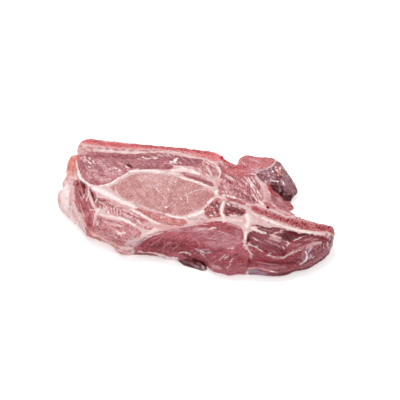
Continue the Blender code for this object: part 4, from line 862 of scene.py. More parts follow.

# what lies across the borders of the pieces: seams, slits, painted shadows in folds and along the foot of the
# near side, and painted glints
faceMarks = {
    "salmon": [(3, -80, -36.4, -76, -38.4, -71, -41), (2.6, -62, -45, -58, -47)],
    "cream": [(3.4, -53.6, -48, -49, -48.8, -45, -47.6), (2.4, -78, -38.8, -74.6, -40)],
    # darker lean; along the right end's lower side it is partly painted shade
    "deepLean": [(7, 89, -48.6, 95, -44, 101, -37.6, 105, -30), (2.6, 106, -27, 108, -20),
        (4, -91.6, 6, -89, -2, -86, -9, -83, -15), (3, -82.4, 0, -79.4, -6, -76.6, -10.6),
        (2.4, -99, 13, -97, 6, -95, -1)],
    "mauveLean": [(2.6, -36, 46.6, -30, 47.4, -24, 48), (2.2, 12.6, 47.6, 15.6, 42, 16.4, 36),
        (3, 22, 36, 28, 32.6)],
    "paleHaze": [(1.8, -12, 32.6, -4, 31.8, 3, 29.9, 8, 27.6), (2.4, -19.6, 32.4, -15, 31.6),
        (1.4, 27, -13.6, 33, -13.4, 37, -16)],
    "seamWhite": [(1.8, -99.6, 22.6, -96, 16.6, -91, 12.2, -86, 9.6),
        (4.2, -84, 7.6, -77, 5, -70, 2, -62, -1.6), (2.2, -60, -2.6, -52, -5.4, -46, -7.4),
        (2.4, -57, 28.6, -48, 31, -38, 32, -30, 31.4), (1.2, -60, 25.4, -66, 20.6, -72, 13.4, -80, 10.4),
        (3.6, -24, 34.6, -16, 36.4, -8, 35.6, -2, 34), (2, -19, 39.4, -13, 37.6),
        (1.1, -16.5, 28.4, -8, 26.4, 1, 24.5, 9, 21.5), (2.2, 14.8, 18.6, 14.6, 15.4),
        (1, 12.4, 10, 9.4, 4.4, 7, 0), (1.4, 7, -3, 3, -7, -4, -10.6),
        (1.4, -22, -11, -14, -12.6, -6, -12.4), (1.4, 21.5, 7.6, 21, 3.5, 21, 0, 21.6, -4, 24, -8),
        (1.1, 12, 43.6, 15, 38, 14.6, 32), (1.1, 3, 48.6, 9, 46.4, 13.6, 41.6),
        (2, 41, -2.6, 43.4, -8, 42.6, -14), (1.5, 42.6, -19, 42.8, -26),
        (1.5, -58, -19.4, -50.5, -22.2, -44, -25),
        (1, -50.3, -9.6, -45, -12, -39.5, -14.6, -31, -19, -26, -21),
        (1.5, 54, -4, 62, -7, 69, -9.2, 74, -10.4, 83, -12.2, 93, -13.4),
        (1.8, 46, -14.6, 52, -17, 58, -18.4), (1.6, 20, 14.6, 26, 14, 31, 12.6), (1.6, 49, 13, 53, 10)],
    "fatLine": [(1.1, -103.8, 34, -101.5, 27.6, -98.4, 21.6), (1, -99.6, 20, -96.4, 14.6, -94.6, 12),
        (1, -88, 7, -86.6, -0.5, -87, -6), (0.9, -90.4, 6, -89.4, 1, -90, -5),
        (1, -81.5, 4, -79, -2, -79.5, -7), (0.9, -85.6, -2, -82.6, -8, -79.6, -12),
        (1.1, -44, 51.5, -40, 52.3, -31, 54, -22, 53.8, -14, 51.5, -5, 50.3),
        (1, -92, 48.2, -80, 48.4, -68, 48.4, -58, 48.8),
        (1.3, -50.5, 45.2, -48.5, 43.8, -43, 44.6, -38, 46), (1.7, -21.8, 48.4, -24, 44.8, -21.6, 42.4),
        (1.1, -24.4, 43.8, -28, 42.6), (1, 20.6, 36, 24.4, 33.4, 29, 31),
        (1, 42, -33, 47, -31.4, 53, -33.4, 57, -36.6), (0.9, 61, -38.6, 66.5, -39.8),
        (1, 43, -31.5, 46.5, -36.5, 50, -40.6), (1, 64, -18.4, 66.4, -16.4, 70, -15.4),
        (0.9, 76, -38, 80.3, -34, 84.5, -31.6), (1, 90, -15.6, 86, -18.4, 80, -22.4),
        (0.9, 106, -13, 106.4, -16), (0.9, 107, -20, 106.6, -24), (1.2, 105, -10.4, 107.4, -13),
        (0.8, -79, -16.6, -77, -22, -76.6, -30), (1.3, -82.4, -15, -78.6, -14),
        (1.3, -76.4, -14.6, -76.8, -18.6)],
    # dark red, painted shade: in the folds by the neck, under the rib's edge over the recessed muscles, in
    # the flank's pocket and along the foot of the near side
    "maroon": [(2.8, 73.6, 21, 77, 23.6, 79, 27), (2, 56.6, 30, 58, 28.4, 59.4, 26.4),
        (3.4, 72.6, -14.4, 80, -16, 88, -17.4), (1.6, 86, -15.8, 93, -15.8, 99, -16.4, 104, -17.6),
        (1.2, 49, -11.8, 55, -12.6, 62, -14), (2.6, 71.6, -34, 74, -36.6), (1, 44.4, -22, 45, -30),
        (2.6, 64, -58, 74, -56.4, 84, -52.4, 93, -47.6, 101, -42, 107, -34),
        (2.2, -5, -48.6, 1, -51, 6, -52.4), (1.4, 68, -12, 73, -12.8),
        (1.6, 60, -46, 70, -46.4, 80, -44.4, 87, -40)],
    # painted shadow, near black: in the fold where neck meets chest, along the top of the recess and at the
    # flank's near end
    "nearBlack": [(1.2, 73, -13.8, 78, -14.6, 84, -16), (1.5, 57, 30.4, 60, 26.8, 64, 23.6, 67, 21.6),
        (5.6, 66.6, 22, 70, 19.8, 73.4, 17.8), (3, 72, 21.4, 74.8, 20), (0.9, 45, -23.6, 45.4, -28)],
    # painted highlights: glints of the wet surface laid in the colour
    "glint": [(0.9, 57, 45), (0.9, 59.3, 47.6, 59.8, 46.4), (0.8, 62.8, 49.4), (0.8, 54.6, 40),
        (0.8, 56.4, 34.7, 58, 34.4), (0.7, 60.6, 34.4, 62.4, 34.6), (0.8, 66.2, 34.9, 67, 33),
        (0.7, 55.6, 47), (0.7, 65, 25.6), (1.2, -94, 38, -92.4, 36.8), (0.9, -96.6, 35.6, -94.6, 34.8),
        (1.1, -93.6, 33.8, -91.4, 32.4), (1.4, -91.8, 28.6, -90.8, 27.6), (0.8, -90.4, 35.4, -89.2, 34.4),
        (0.8, -97.6, 38.4, -96.6, 37.6), (0.8, -74.9, 29, -74.2, 27.8), (0.9, -67.4, 28.2, -66, 27.8),
        (1.1, -61.8, 32.6, -60.4, 31.8), (0.9, -50.4, 45.3, -49, 44.8), (1.3, -22.4, 46.4, -23.6, 44.4),
        (0.9, -27.4, 43.6, -25.8, 43), (0.8, -24.2, 14.4, -23.6, 13.4), (0.9, -24, -4.7, -22.6, -4.5),
        (0.8, -20, 22.8), (0.9, 14.8, 17, 15.4, 16), (0.9, 15.4, -20, 18.4, -19.2),
        (0.8, 49.4, -24.4, 51.6, -26), (0.8, -72, -11.4, -70.6, -12.4), (0.9, -67.6, -15, -67, -16.4),
        (0.8, 65.4, -54.3, 67.6, -54.8), (1, 91.8, -37, 91.4, -39.4), (0.9, 58.7, 50.4, 59.2, 49.2),
        (0.9, 60.7, 46, 61, 44.8), (0.8, 52.6, 33.6, 53.4, 33), (0.8, 24.6, 6.4, 26, 5.2),
        (0.8, 29, -4.6, 31, -4.8), (0.7, 12.6, -7.2, 14, -7), (0.7, 41, 28.6, 42.4, 26.4),
        (0.7, 46.8, 22.4, 47.8, 20.6), (0.7, 36.8, 30.2, 38, 28.6), (0.8, -41.4, -42.6),
        (0.7, 9.6, -42.6, 12, -43.8), (0.7, 84, -31.8, 86, -30.8)],
    "slit": [(1.6, -95.6, 12.6, -93.4, 9.4, -91.4, 5.4, -90, 1.4), (1.4, -97.9, 9.4),
        (1.5, -84.8, 3.6, -82.8, -0.8, -80.4, -4.8), (1, -94, 3, -92.6, -1.6),
        (1.2, -61.2, 35.4, -59, 34.2), (0.9, -86.6, 6.6, -85.4, 4), (0.7, 102.8, -21, 102.2, -25)],
    "paleEdge": [(1, 90.2, -31.6, 91.6, -35), (1.9, 91.6, -36, 91.4, -39, 89.4, -42),
        (1.2, 89.4, -42, 86.6, -44.8)],
    "pinkTan": [(2, 90.6, -28, 93, -24.4, 97, -22, 102, -22)],
    "silver": [(1.4, 53.4, 5, 49.6, 7), (1, 94.4, -34.4, 93.6, -38.6)],
    "blood": [(2.6, 14, 53.5, 16.5, 51.2, 19.4, 50.2), (2, 55.8, 8.4, 57.6, 6.6)],
    "hole": [(1.3, 56.4, 8.2, 57, 7.2)],
    "crumb": [(1.4, 83.6, 2.2), (1.7, 87, 1.4), (1.3, 90.6, 1), (1.6, 93.4, 0.2), (1.2, 78, 3),
        (1.5, 107.4, -7.6), (1.3, 109, -10.6), (1.5, -104, 60.6), (1.2, -99.6, 61), (1.3, 14.6, 54.6),
        (1.4, 75.2, 33.8)],
}

pieces = [
    featherBone, vertebra, ribBone, spinalis, upperMuscle, deepBackMuscle, sliverMuscle, loinEye, multifidus,
    roundLeft, roundRight, ribbonMuscle, bandMuscle, outerBand, cornerMuscle, lowerLeft, lowerCentre,
    underRib, recessedMuscle, flankMuscle, ribEndMuscle, silverFlap, bellyMuscle, ribTipMuscle, chestLining,
    neckMuscle, fatWeb]
fatNumber = len(pieces) - 1
chestNumber = pieces.index(chestLining)
neckNumber = pieces.index(neckMuscle)


def rimRows(loop, radii):           # rows of points that follow the rounded edge, closer where it is steep
    rows = []
    for point, way, radius in zip(loop[:, :2], outward(loop), radii):
        count = max(1, round(radius * math.pi / 2 / slab["arcStep"]))
        for row in range(1, count + 1):
            reach = radius * (1 - math.cos(row / count * math.pi / 2))
            rows.append((*(point - way * reach), reach))
    return np.array(rows)


def inLoop(points, loop):           # True for the points inside a loop
    after = np.roll(loop, -1, axis=0)
    result = np.zeros(len(points), bool)
    for (x0, y0), (x1, y1) in zip(loop[:, :2], after[:, :2]):
        if y0 != y1:
            spans = (y0 > points[:, 1]) != (y1 > points[:, 1])
            result ^= spans & (points[:, 0] < (x1 - x0) * (points[:, 1] - y0) / (y1 - y0) + x0)
    return result


def layPoints(step, radiusColumn):  # the points of one face: rows round its edge, and a staggered grid
    rows = rimRows(rim, rim[:, radiusColumn])
    kept = nearestOn(rimTree, rows)[1] > 0.9 * rows[:, 2]       # none that came too near to another stretch
    rows = rows[kept, :2]
    low, high = rim[:, :2].min(0), rim[:, :2].max(0)
    lines = []
    for number, y in enumerate(np.arange(low[1], high[1], step * rowRatio)):
        xs = np.arange(low[0] + (number % 2) * step / 2, high[0], step)
        lines.append(np.stack([xs, np.full(len(xs), y)], 1))
    grid = np.concatenate(lines)
    grid = grid[inLoop(grid, rim)]
    nearest, gap = nearestOn(rimTree, grid)
    grid = grid[gap > rim[nearest, radiusColumn] + slab["edgeClear"] * step]
    points = np.concatenate([rows, grid])
    if radiusColumn == 2:
        points = np.concatenate([points, neckRows])
    points = points[nearestOn(outlineTree, points)[1] > slab["joinClear"]]
    return points[inLoop(points, rim)]


def makeSheet(points):              # joins the points into triangles, and says which piece owns each of them
    corners = [Vector(p[:2]) for loop in [rim] + outlines for p in loop]
    faces = []
    for loop in [rim] + outlines:
        first = sum(len(face) for face in faces)
        faces.append(list(range(first, first + len(loop))))
    corners += [Vector(p) for p in points]
    places, _, triangles, _, _, inside = delaunay_2d_cdt(corners, [], faces, 0, 1e-5, True)
    kept = [(triangle, min([n for n in held if n > 0], default=fatNumber + 1) - 1)
            for triangle, held in zip(triangles, inside) if 0 in held]
    triangles, owners = zip(*kept)
    return np.array([tuple(p) for p in places]), np.array(triangles), np.array(owners)


def homes(count, triangles, owner):     # the piece that each point belongs to: at a border, not the fat
    home = np.full(count, fatNumber)
    for number in range(fatNumber):
        home[triangles[owner == number]] = number
    return home


def seamGap(points, home):          # how far each point is from its piece's border, and what lies beyond it
    gap = np.zeros(len(points))
    beside = home.copy()
    for number in range(fatNumber):
        mine = home == number
        gap[mine] = nearestOn(makeFinder([outlines[number]]), points[mine])[1]
    mine = home == fatNumber
    nearest, gap[mine] = nearestOn(outlineTree, points[mine])
    beside[mine] = outlineOwner[nearest]
    return gap, beside


def footHeight(points):             # the wall of the chest falls away from its crest, beside the rib
    line = crest[:, :2]
    past = np.linalg.norm(points[:, None, :2] - line, axis=2).min(1)
    fallen = slab["thickness"] - chestLining["slope"] * np.maximum(past - 1, 0)
    beyond = points[:, 0] > np.interp(points[:, 1], line[::-1, 1], line[::-1, 0])
    near = beyond & (points[:, 1] < chestLining["foot"]) & (points[:, 1] > line[-1, 1])
    return np.where(near, np.maximum(fallen, chestLining["thinEdge"]), slab["thickness"])


def faceHeight(points, home, seam):
    crowns = np.array([piece["crown"] for piece in pieces])
    height = slab["thickness"] + crowns[home] * softStep(seam / slab["crownReach"])
    low = (home == chestNumber) | (home == fatNumber)
    height[low] = footHeight(points[low])
    neck = home == neckNumber
    spots = points[neck]
    fallen = softStep((spots[:, 0] - neckMuscle["fallsFrom"]) / neckMuscle["fallLength"])
    height[neck] -= neckMuscle["fall"] * fallen
    gap = np.linalg.norm(spots[:, None, :] - neckFoot, axis=2)
    foot = footHeight(neckFoot)[gap.argmin(1)]
    near = 1 - np.clip(gap.min(1) / neckMuscle["roundedBy"], 0, 1)
    height[neck] = foot + (height[neck] - foot) * np.sqrt(1 - near ** 2)
    return height


def edgeDrop(points, height, column, share):    # how much the rounded edge takes away
    nearest, gap = nearestOn(rimTree, points)
    radius = rim[nearest, column]
    near = 1 - np.clip(gap / radius, 0, 1)
    return np.minimum(radius, share * height) * (1 - np.sqrt(np.clip(1 - near ** 2, 0, 1))), nearest


def pointNormals(spots, triangles):
    a, b, c = (spots[triangles[:, k]] for k in range(3))
    facing = np.cross(b - a, c - a)
    normal = np.zeros_like(spots)
    for k in range(3):
        np.add.at(normal, triangles[:, k], facing)
    return normal / (np.linalg.norm(normal, axis=1)[:, None] + 1e-12)


rim = anticlockwise(smoothLine(slab["rim"], slab["topStep"]))
rim[:, :2] = wander(rim[:, :2])
rimTree = makeFinder([rim])
crest = smoothLine(chestLining["crest"], 1.0, closed=False)
outlines = []
for piece in pieces[:-1]:
    loop = wander(anticlockwise(smoothLine(piece["outline"], slab["topStep"])))
    close = nearestOn(rimTree, loop)[1] < slab["finerWithin"]
    finer = []
    for here, after, near in zip(loop, np.roll(loop, -1, axis=0), close):
        finer += [here + (after - here) * k / 4 for k in range(4 if near else 1)]
    outlines.append(np.array(finer))
outlineTree = makeFinder(outlines)
outlineOwner = np.concatenate([np.full(len(loop), number) for number, loop in enumerate(outlines)])
neckLoop = outlines[neckNumber]
footSide = (neckLoop[:, 0] > neckMuscle["footFrom"][0]) & (neckLoop[:, 1] < neckMuscle["footFrom"][1])
neckFoot = neckLoop[footSide]
arc = 1 - np.cos(np.arange(1, neckMuscle["rows"]) / neckMuscle["rows"] * math.pi / 2)
neckRows = np.array([neckLoop[k] - way * neckMuscle["roundedBy"] * reach
                     for k, way in enumerate(outward(neckLoop)) if footSide[k] for reach in arc])
print("outlines drawn:", len(outlines))

# the cut face and the underside, joined round the outside by the rows of the side wall
topPlan, topFaces, topOwner = makeSheet(layPoints(slab["topStep"], 2))
lowPlan, lowFaces, lowOwner = makeSheet(layPoints(slab["underStep"], 3))
topHome = homes(len(topPlan), topFaces, topOwner)
lowHome = homes(len(lowPlan), lowFaces, lowOwner)
topSeam, topBeside = seamGap(topPlan, topHome)
lowSeam, lowBeside = seamGap(lowPlan, lowHome)
flatTop = faceHeight(topPlan, topHome, topSeam)
topDrop, topRim = edgeDrop(topPlan, flatTop, 2, slab["upperShare"])
lowDrop, lowRim = edgeDrop(lowPlan, faceHeight(lowPlan, lowHome, lowSeam), 3, slab["lowerShare"])
print("faces laid:", len(topFaces), "above and", len(lowFaces), "below")

topCount, lowCount = len(topPlan), len(lowPlan)
usedTop = np.zeros(topCount, bool)
usedTop[topFaces] = True
below = np.zeros(topCount, int)     # the point of the underside beneath each border point of the cut face
below[usedTop] = nearestOn(makeFinder([lowPlan]), topPlan[usedTop])[0] + topCount
sides = {}
for number, (a, b, c) in enumerate(topFaces):
    for pair in ((a, b), (b, c), (c, a)):
        sides[pair] = number
outer = [(a, b) for a, b in sides if (b, a) not in sides]
columns = {}
wallPlan, wallHeights, wallFrom = [], [], []
for a, _ in outer:
    upper = flatTop[a] - topDrop[a]
    lower = lowDrop[below[a] - topCount]
    columns[a] = []
    for row in range(1, slab["wallRows"]):
        columns[a].append(topCount + lowCount + len(wallPlan))
        wallPlan.append(topPlan[a])
        wallHeights.append(upper + (lower - upper) * row / slab["wallRows"])
        wallFrom.append(a)
wallFaces, wallOwner = [], []
for a, b in outer:
    first = [a] + columns[a] + [below[a]]
    second = [b] + columns[b] + [below[b]]
    for row in range(slab["wallRows"]):
        wallFaces += [(first[row], first[row + 1], second[row + 1]),
                      (first[row], second[row + 1], second[row])]
        wallOwner += [topOwner[sides[(a, b)]]] * 2

plan = np.concatenate([topPlan, lowPlan, np.array(wallPlan)])
heights = np.concatenate([flatTop - topDrop, lowDrop, np.array(wallHeights)])
home = np.concatenate([topHome, lowHome, topHome[wallFrom]])
seam = np.concatenate([topSeam, lowSeam, topSeam[wallFrom]])
beside = np.concatenate([topBeside, lowBeside, topBeside[wallFrom]])
spots = np.column_stack([plan, heights])
shell = np.concatenate([topFaces, lowFaces[:, ::-1] + topCount, np.array(wallFaces)])
shellOwner = np.concatenate([topOwner, lowOwner, np.array(wallOwner)])

# painting and fibres follow the surface, so what slopes or stands is folded out into the plan
rimWay = outward(rim)
facing = softStep(-rimWay[:, 1:2] / slab["nearSide"])
rimWay = rimWay * (1 - facing) + np.array([[0.0, -1.0]]) * facing
sunk = np.maximum(slab["thickness"] - flatTop, 0)
sunk = np.concatenate([sunk, np.zeros(lowCount), sunk[wallFrom]])
drop = np.concatenate([topDrop, slab["thickness"] - lowDrop, flatTop[wallFrom] - np.array(wallHeights)])
way = rimWay[np.concatenate([topRim, lowRim, topRim[wallFrom]])]
flat = plan + slab["unroll"] * (way * drop[:, None] - np.outer(sunk, [0.0, 1.0]))
print("points in the shell:", len(spots))

redSwing = (0.55, 1.1, 1.05)        # where lean darkens it turns redder, and where it pales it turns whiter

# what a mark does: its colour, how strongly and how softly it covers, how far it stands up, how wet it is and
# how broken
marks = {
    "closed": ("#000000", 0, 0.9, 0, 0, 0),     # lays no colour: muscle meets muscle there without fat
    "fatLine": ("#e3cfce", 0.85, 0.3, 0.08, 0.2, 0.45),
    "strand": ("#c4979a", 0.62, 0.3, 0.04, 0.1, 0.45),
    "cream": ("#e6d2cf", 0.7, 0.9, 0, 0, 0.3),
    "seamWhite": ("#ecdedd", 0.85, 0.6, 0.05, 0.1, 0.35),
    "paleEdge": ("#e2cfcf", 0.9, 0.35, 0.15, 0.2, 0.25),
    "paleHaze": ("#cfa9aa", 0.6, 1, 0, 0, 0.3),
    "greyHaze": ("#a48a92", 0.55, 1.2, 0, 0.1, 0.6),
    "blush": ("#c98380", 0.55, 1.2, 0, 0, 0.3),
    "salmon": ("#d78674", 0.82, 1.3, 0, 0, 0.3),
    "pinkTan": ("#c5999a", 0.8, 0.7, 0.2, 0.3, 0.3),
    "tan": ("#b98a78", 0.65, 0.6, 0, 0, 0.3),
    "pinkLip": ("#c88f93", 0.8, 0.4, 0.2, 0.4, 0.2),
    "leanPink": ("#a55b5a", 0.4, 2.6, 0, 0, 0),
    "mauvePink": ("#aa6570", 0.6, 1.6, 0, 0.2, 0.3),
    "mauve": ("#87505f", 0.55, 1.4, 0, 0.3, 0.2),
    "mauveLean": ("#94505a", 0.8, 0.8, 0, 0, 0.4),
    "rosy": ("#994a52", 0.85, 0.9, 0, 0, 0.3),
    "deepLean": ("#8c3d44", 0.8, 0.7, 0, 0, 0.3),
    "leanRed": ("#84303a", 0.7, 0.5, -0.05, 0, 0.3),
    "leanDot": ("#9c5257", 0.8, 0.5, -0.1, 0.1, 0),
    "redder": ("#972a2e", 0.6, 0.9, 0, 0, 0.4),
    "crumb": ("#b9666a", 0.4, 0.6, 1, 0.3, 0),
    "capRed": ("#c4564a", 0.6, 1.2, 0, 0.1, 0.4),
    # dark red: the cores of some muscles, and painted shade in folds and along the foot of the near side
    "maroon": ("#5c141f", 0.92, 0.7, -0.3, 0.1, 0.25),
    # painted highlights: near-white glints of the wet surface
    "glint": ("#f4eaea", 0.95, 0.3, 0.05, 0.9, 0.2),
    # a painted sheen: paler mauve where the wet lean reflects the light
    "mauveSheen": ("#b27680", 0.7, 2.2, 0, 0.2, 0.35),
    "core": ("#a83a3d", 0.7, 0.8, -0.1, 0, 0.5),
    "deepRed": ("#86222f", 0.75, 1.8, 0, 0, 0.3),
    "blood": ("#a00d16", 0.85, 0.6, 0, 0.6, 0),
    # darker tissue, and painted shade in folds, grooves, recesses and low on the near side
    "shade": ("#651822", 0.62, 1.1, -0.15, 0, 0.4),
    # a real dip, darkened in the colour with painted shade
    "slit": ("#5a1216", 0.9, 0.4, -0.9, 0.3, 0),
    # a pit, darkened in the colour with painted shade
    "hole": ("#42080c", 0.95, 0.4, -1.5, 0.5, 0),
    "marrowHole": ("#5a0e14", 0.8, 0.3, -0.5, 0.4, 0),
    # painted shadow, near black, in folds and under overhangs
    "nearBlack": ("#4c0c15", 0.96, 0.6, -0.5, 0.1, 0.1),
    # painted shadow: a thin dark line along the foot of the side, where it meets the board
    "edgeShadow": ("#54201e", 0.65, 0.8, 0, 0, 0.5),
    # painted sheen: a pale bluish reflection of the wet surface, laid in the colour
    "sheen": ("#cdbfcd", 0.65, 0.45, 0.1, 0.8, 0.3),
    "silver": ("#c3adb9", 0.75, 0.45, 0.05, 0.6, 0.2),
    # silver skin, with painted shade and a painted bluish reflection
    "silverInShade": ("#85748a", 0.85, 0.7, 0, 0.5, 0),
}

brush = {
    "shake": 0.4,           # a stroke strays from its line by so much
    "shakeSize": 1.7,       # over this length
    "breakSize": 1.1,       # size of the gaps in a broken stroke
    "tip": 0.45,            # width of its ends, as a share of its middle
    "core": 0.6,            # share of its half width that is covered evenly
    "ragged": (3.4, 1.5),   # length and width of the lean's ragged ends at the fat
    "raggedBy": 0.7,        # by so much
    "fatReach": 3.0,        # muscle and fat are painted over each other so far from their joint
    "blend": 0.7,           # over which one fades into the other
    "closeBy": 9.0,         # how far the fat gives way where a joint is closed
}


def layMarks(groups, flat, colour):     # draws strokes over a colour: also how they rise, wet and close it
    sway = [cloud(flat, brush["shakeSize"], seed) for seed in (71, 72)]
    shaken = flat + brush["shake"] * np.stack(sway, 1)
    gaps = 0.5 + 0.5 * cloud(flat, brush["breakSize"], 73, 2)
    risen, wetted, closed = np.zeros((3, len(flat)))
    for kind, strokes in groups.items():
        code, cover, soft, rise, wet, broken = marks[kind]
        for width, *line in strokes:
            line = np.array(line, float).reshape(-1, 2)
            margin = width / 2 + soft + 1
            low, high = line.min(0) - margin, line.max(0) + margin
            close = np.flatnonzero(((shaken > low) & (shaken < high)).all(1))
            if not len(close):
                continue
            if len(line) > 1:
                line = smoothLine(line, 2.0, closed=False)
            gap, share = nearestStroke(shaken[close], line)
            bulge = np.sin(np.pi * np.clip(share, 0.02, 0.98)) ** 0.5
            half = width / 2 * (brush["tip"] + (1 - brush["tip"]) * bulge)
            amount = 1 - softStep((gap - half * brush["core"]) / (soft + half * (1 - brush["core"])))
            amount *= 1 - broken * gaps[close]
            if kind == "closed":
                closed[close] = np.maximum(closed[close], amount)
                continue
            share = (cover * amount)[:, None]
            colour[close] = colour[close] * (1 - share) + hexColour(code) * share
            risen[close] += rise * amount
            wetted[close] = np.maximum(wetted[close], wet * amount)
    return colour, risen, wetted, closed


def paintPiece(number, flat):
    piece = pieces[number]
    blotch = cloud(flat, piece.get("blotchSize", 4.0), 31 + number, 3)[:, None]
    here = hexColour(piece["colour"]) * (1 + piece.get("blotch", 0.12) * blotch * np.array(redSwing))
    return layMarks(piece["marks"], flat, np.clip(here, 0.01, 0.9))


def paint(home, beside, flat, seam):    # muscle and fat are painted over each other along their joints
    inside = np.where(home == fatNumber, -seam, seam)
    fatty = np.flatnonzero(inside < brush["fatReach"])
    colour, rise, wet, closed = (np.zeros((len(flat), 3)), *np.zeros((3, len(flat))))
    ragged = np.zeros(len(flat))
    for number, piece in enumerate(pieces[:fatNumber]):
        mine = np.flatnonzero(beside == number)
        colour[mine], rise[mine], wet[mine], _ = paintPiece(number, flat[mine])
        _, _, _, angle = piece["grain"]
        ragged[mine] = piece.get("ragged", 1.0) * grainCloud(flat[mine], *brush["ragged"], angle, 81, 2)
    fatColour, fatRise, fatWet, fatClosed = paintPiece(fatNumber, flat[fatty])
    shift = brush["raggedBy"] * ragged[fatty] + brush["closeBy"] * fatClosed
    mask = softStep((inside[fatty] + shift) / brush["blend"] + 0.5)
    colour[fatty] = colour[fatty] * mask[:, None] + fatColour * (1 - mask[:, None])
    rise[fatty] = rise[fatty] * mask + fatRise * (1 - mask)
    wet[fatty] = wet[fatty] * mask + fatWet * (1 - mask)
    closed[fatty] = fatClosed
    colour, overRise, overWet, _ = layMarks(faceMarks, flat, colour)
    rise = rise * softStep(seam / slab["fadeIn"]) + overRise
    return colour, rise, np.maximum(wet, overWet), closed


def relief(home, flat, seam, closed):   # fibres, grain and lumps, which fade out at each piece's border
    height = sum(rise * cloud(flat, size, 41 + 2 * number, octaves)
                 for number, (size, rise, octaves) in enumerate(slab["lumps"]))
    for number, piece in enumerate(pieces):
        mine = home == number
        length, width, depth, angle = piece["grain"]
        grain = grainCloud(flat[mine], length, width, angle, 51 + number, 2)
        height[mine] += depth * grain * softStep(seam[mine] / slab["fadeIn"])
    depth, reach = slab["groove"]
    return height - depth * (1 - softStep(seam / reach)) * (1 - closed)


colour, rise, wet, closed = paint(home, beside, flat, seam)
onTop = np.concatenate([np.ones(topCount), np.full(lowCount, slab["underRelief"]), np.ones(len(wallFrom))])
normal = pointNormals(spots, shell)
spots = spots + normal * ((relief(home, flat, seam, closed) + rise) * onTop)[:, None]
spots[:, 2] = np.maximum(spots[:, 2], 0)
normal = pointNormals(spots, shell)
print("surface painted and raised")


def addField(mesh, name, kind, key, values):
    field = mesh.attributes.new(name, kind, "POINT")
    field.data.foreach_set(key, np.asarray(values, np.float32).ravel())


def makeMesh(piece, spots, faces, fields):  # a mesh in metres, with what the materials read from its points
    mesh = bpy.data.meshes.new(piece["name"])
    mesh.from_pydata(((spots - [*slab["boxCentre"], 0]) * mm).tolist(), [], faces)
    mesh.polygons.foreach_set("use_smooth", np.ones(len(faces), bool))
    tint, flat, seam, wet = fields
    addField(mesh, "tint", "FLOAT_COLOR", "color", np.column_stack([tint, np.ones(len(spots))]))
    addField(mesh, "flat", "FLOAT_VECTOR", "vector", np.column_stack([flat, spots[:, 2]]))
    addField(mesh, "seam", "FLOAT", "value", seam)
    addField(mesh, "wet", "FLOAT", "value", wet)
    return mesh


def placePiece(piece, mesh, material):
    mesh.materials.append(material)
    built = bpy.data.objects.new(piece["name"], mesh)
    bpy.context.collection.objects.link(built)
    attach(built, "root")
    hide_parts(piece["node"])


def cornerPairs(triangles):
    return [pair for a, b, c in triangles for pair in ((a, b), (b, c), (c, a))]


def buildPiece(number):             # one closed piece: its faces of the shell, and walls to the underside
    faces = [tuple(face) for face in shell[shellOwner == number]]
    outside = len(faces)
    own = set(cornerPairs(topFaces[topOwner == number].tolist()))
    for a, b in sorted(own):
        if (b, a) not in own and (b, a) in sides:
            faces.append((b, a, *columns.get(a, []), below[a], below[b], *reversed(columns.get(b, []))))
    used = sorted({corner for face in faces for corner in face})
    place = np.zeros(len(spots), int)
    place[used] = np.arange(len(used))
    mesh = makeMesh(pieces[number], spots[used], [place[list(face)].tolist() for face in faces],
                    (colour[used], flat[used], seam[used], wet[used]))
    corners = np.zeros(len(mesh.loops), np.int32)
    mesh.loops.foreach_get("vertex_index", corners)
    facing = normal[used][corners]
    for wall in mesh.polygons[outside:]:
        facing[wall.loop_start:wall.loop_start + wall.loop_total] = wall.normal
    mesh.normals_split_custom_set(facing.tolist())
    return mesh


def addNode(tree, kind, settings=None, links=None):
    node = tree.nodes.new("ShaderNode" + kind)
    for key, value in (settings or {}).items():
        if isinstance(key, int) or key in node.inputs:
            node.inputs[key].default_value = value
        else:
            setattr(node, key, value)
    for key, socket in (links or {}).items():
        tree.links.new(socket, node.inputs[key])
    return node if kind == "Attribute" else next((o for o in node.outputs if o.enabled), None)


def startMaterial(name):            # an empty material, and the fields of the mesh that every finish reads
    material = bpy.data.materials.new(name)
    material.use_nodes = True
    tree = material.node_tree
    tree.nodes.clear()
    outputs = {"tint": "Color", "flat": "Vector", "seam": "Fac", "wet": "Fac"}
    return material, tree, {key: addNode(tree, "Attribute", {"attribute_name": key}).outputs[output]
                            for key, output in outputs.items()}


def along(tree, fields, length, width, angle):      # coordinates in which one unit is one fibre bundle
    return addNode(tree, "Mapping", {"vector_type": "TEXTURE", "Rotation": (0, 0, math.radians(angle)),
                                     "Scale": (length, width, width)}, {"Vector": fields["flat"]})


def swung(tree, fields, source, low, high, swing):  # the tint, redder and darker or whiter with a noise
    amount = addNode(tree, "MapRange", {"From Min": low, "From Max": high, "To Min": -swing, "To Max": swing},
                     {"Value": source})
    turned = addNode(tree, "VectorMath", {"operation": "SCALE", 0: redSwing}, {"Scale": amount})
    shade = addNode(tree, "VectorMath", {"operation": "ADD", 1: (1, 1, 1)}, {0: turned})
    return addNode(tree, "VectorMath", {"operation": "MULTIPLY"}, {0: fields["tint"], 1: shade})


def layOver(tree, base, source, low, high, start, end, code):   # a colour, where a noise or distance says
    share = addNode(tree, "MapRange", {"From Min": low, "From Max": high, "To Min": start, "To Max": end},
                    {"Value": source})
    return addNode(tree, "Mix", {"data_type": "RGBA", 7: (*hexColour(code), 1)}, {0: share, 6: base})


gloss = {
    "dark": 0.04,           # how red the tint is in a slit or a fold, which mirrors hardly anything
    "open": 0.22,           # and on open tissue
    "inSlits": 0.12,        # share of the gloss that is left in a slit
    "mirror": 0.3,          # specular level of open tissue
    "patches": 0.45,        # drier and wetter patches, per millimetre
    "patchy": (-0.1, 0.12),     # what they change in roughness
    "wetMark": -0.25,       # what a wet mark changes in it
    "ripples": 0.9,         # ripples of the juice, per millimetre
}


def shown(tree, fields):            # 1 on open tissue, near 0 in dark slits and folds
    red = addNode(tree, "SeparateColor", None, {"Color": fields["tint"]})
    return addNode(tree, "MapRange", {"From Min": gloss["dark"], "From Max": gloss["open"],
                                      "To Min": gloss["inSlits"], "To Max": 1.0}, {"Value": red})


